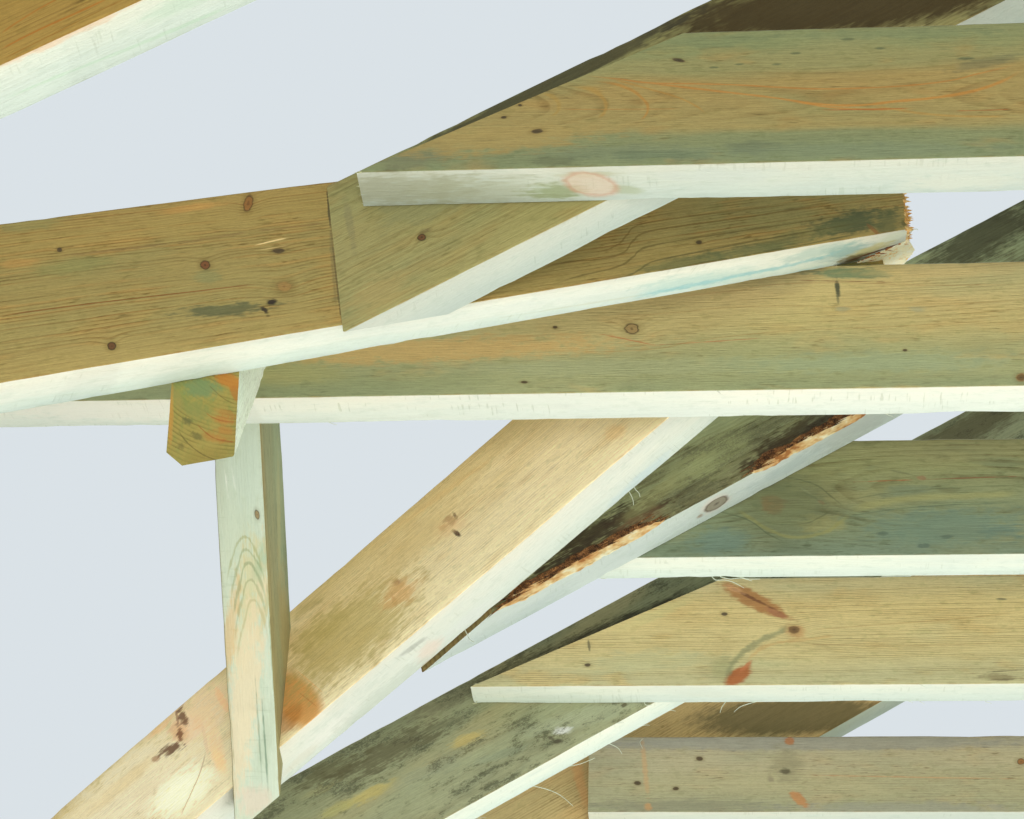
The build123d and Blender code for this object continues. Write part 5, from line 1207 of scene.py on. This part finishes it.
    # rough sawn left tips of the first and fourth joists
    b = Bits()
    for tim in (J1, J4):
        lo = min(p[0] for p in planes_of(tim)[1])
        for i in range(70):
            w, v = rnd.uniform(0.001, 0.049), rnd.uniform(0.0006, 0.005)
            u = lo + v / math.tan(math.radians(26.5)) + 0.003
            b.spike(placed(tim, (u, w, v)), -tim.u + tim.w * rnd.normal(0, 0.15) - tim.v * rnd.uniform(-0.02, 0.05), tim.w, rnd.uniform(0.003, 0.008), rnd.uniform(0.0012, 0.003), 0.0009)
    b.make("joist_tip_fibres", raw_wood("tip_fibres", [(0.36, srgb(150, 150, 112)), (0.62, srgb(190, 192, 150))], (220.0, 220.0, 220.0)))

    # loose fibres hanging from undersides, through points of the picture
    b = Bits()
    hanging = [
        (J3, [(712, 576), (716, 580), (726, 580), (735, 583), (744, 588)]), (J3, [(720, 576), (730, 579), (741, 578), (752, 581)]),
        (J3, [(599, 576), (604, 578.5), (611, 577.5)]), (J3, [(738, 576.5), (748, 579), (760, 579)]),
        (G, [(631, 495), (633, 500), (633.5, 505)]), (G, [(636, 490), (639, 493), (640, 497)]), (G, [(468, 636), (470, 640), (474, 642)]),
        (J4, [(726, 701), (722, 707), (720, 713)]), (J4, [(758, 701), (748, 704), (740, 707), (734, 712)]),
        (J4, [(644, 702), (646, 705), (652, 705)]), (R4, [(533, 786), (546, 789), (560, 795), (573, 806)]),
        (R4, [(568, 766), (580, 764), (595, 758)]), (R4, [(610, 745), (618, 748), (622, 754)]), (J5, [(645, 737), (640, 742), (643, 749)]),
        (C, [(908, 238), (912, 231), (916, 229), (918, 230)]),
    ]
    for tim, pts in hanging:
        line = [tim.meet("w", tim.t - 0.0015 if tim not in (C, J5) else 0.0006, x, y) for x, y in pts]
        if tim is J5:
            line = [tim.meet("w", -0.0004, x, y) for x, y in pts]
        elif tim is C:
            line = [tim.meet("v", -0.0004, x, y) for x, y in pts]
        first = line[0].copy()
        if tim is not J5:
            first[2] = 0.0012
        else:
            first[1] = 0.0012
        line = [first] + line[1:] if abs(line[0][2] - first[2]) < 0.004 else [first] + line
        b.strand([placed(tim, p) for p in line], 0.00055, 0.0003)
    for i in range(60):
        tim = (J1, J2, J3, J4, G, C, R4)[i % 7]
        u = rnd.uniform(tim.us[0] + 0.5, min(tim.us[1] - 0.3, tim.us[0] + 2.2))
        w = rnd.choice([0.0012, tim.t - 0.0012])
        p = np.array([u, w, 0.0008])
        line = [p]
        for j in range(3):
            p = p + np.array([rnd.uniform(0.001, 0.004), rnd.normal(0, 0.0006), -rnd.uniform(0.0008, 0.002)])
            line.append(p)
        if tim in (G, C) and min(placed(tim, q)[2] for q in line) < 0.05:
            continue
        b.strand([placed(tim, p) for p in line], 0.0004, 0.0002, 5)
    b.make("hanging_fibres", fibre)


EXTRA_H = [(0, f) for f in (0.02, 0.045, 0.075, 0.11, 0.22)] + [(3, f) for f in (0.992, 0.98, 0.968, 0.955, 0.94, 0.915, 0.89)]
SPECIAL = {
    "left_rafter_3": dict(wane=h_wane, extra=EXTRA_H, fine=[(H_RUNS[0][0] - 0.01, H_RUNS[0][1] + 0.01, 0.0025), (H_RUNS[1][0] - 0.01, H_RUNS[1][1] + 0.01, 0.0025)]),
    "near_valley_rafter": dict(short=(np.array([C.u[0], C.w[0], C.v[0]]), 0.005)),
}
for k, tim in enumerate(TIMBERS):
    o = build(tim, 1.0 + k * 0.77, marks=[("bark", h_bark), ("clean", h_clean)] if tim is H else (), **SPECIAL.get(tim.node, {}))
    look = dict(LOOKS.get(tim.node, LOOKS["plain"]))
    look["gain"] = LIGHT_AND_TONE_GAIN.get(tim.node, (1.1, 0.8, 1.0))
    for part, label in (("b", "face"), ("e", "edge"), ("n", "end")):
        o.data.materials.append(wood("wood_%s_%s" % (tim.node, label), 1.0 + k * 1.93, tim, part, **look))
loose_work()

# ---------------------------------------------------------------------------
# Floor and light
# ---------------------------------------------------------------------------
bpy.ops.mesh.primitive_plane_add(size=400.0, location=(0, 0, 0))
floor = bpy.context.object
floor.name = "floor"
g = Graph("floor_material")
tc = g.new("ShaderNodeTexCoord")
fn = g.noise(g.stretch(tc.outputs["Object"], (3.0, 3.0, 3.0)), 4.0, 0.6)
sh = g.new("ShaderNodeBsdfPrincipled")
g.put(sh.inputs["Base Color"], g.ramp(fn, [(0.3, srgb(222, 222, 218)), (0.7, srgb(230, 230, 227))]))
sh.inputs["Roughness"].default_value = 0.8
out = g.new("ShaderNodeOutputMaterial")
g.put(out.inputs[0], sh.outputs[0])
floor.data.materials.append(g.mat)

world = bpy.data.worlds.new("studio")
bpy.context.scene.world = world
world.use_nodes = True
bg = world.node_tree.nodes["Background"]
bg.inputs[0].default_value = (0.74, 0.80, 0.84, 1.0)
bg.inputs[1].default_value = 0.95


def area(name, where, aim, size, power, colour=(1, 1, 1)):
    d = bpy.data.lights.new(name, "AREA")
    d.shape = "SQUARE"
    d.size = size
    d.energy = power
    d.color = colour
    o = bpy.data.objects.new(name, d)
    bpy.context.scene.collection.objects.link(o)
    o.location = where
    o.rotation_euler = (Vector(aim) - Vector(where)).to_track_quat("-Z", "Y").to_euler()
    o.visible_camera = False
    return o


area("low_light_front", (-0.7, -1.6, 0.03), (-0.7, -1.6, 3.0), 1.6, 9.0)
area("low_light_middle", (-0.4, -0.2, 0.03), (-0.4, -0.2, 3.0), 1.6, 16.5)
area("low_light_back", (-0.4, 1.2, 0.03), (-0.4, 1.2, 3.0), 1.6, 5.0)
front = area("front_light", (-0.9, -2.3, 0.30), (-0.3, 0.3, 1.4), 0.5, 15.0)
lit = bpy.data.collections.new("lit_by_front_light")    # the timbers, so that it leaves no hot spot on the floor
for o in bpy.context.scene.objects:
    if o.type == "MESH" and o is not floor:
        lit.objects.link(o)
front.light_linking.receiver_collection = lit

scene = bpy.context.scene
scene.view_settings.view_transform = "Standard"
scene.view_settings.look = "None"
scene.view_settings.exposure = 0.0
scene.view_settings.gamma = 1.0
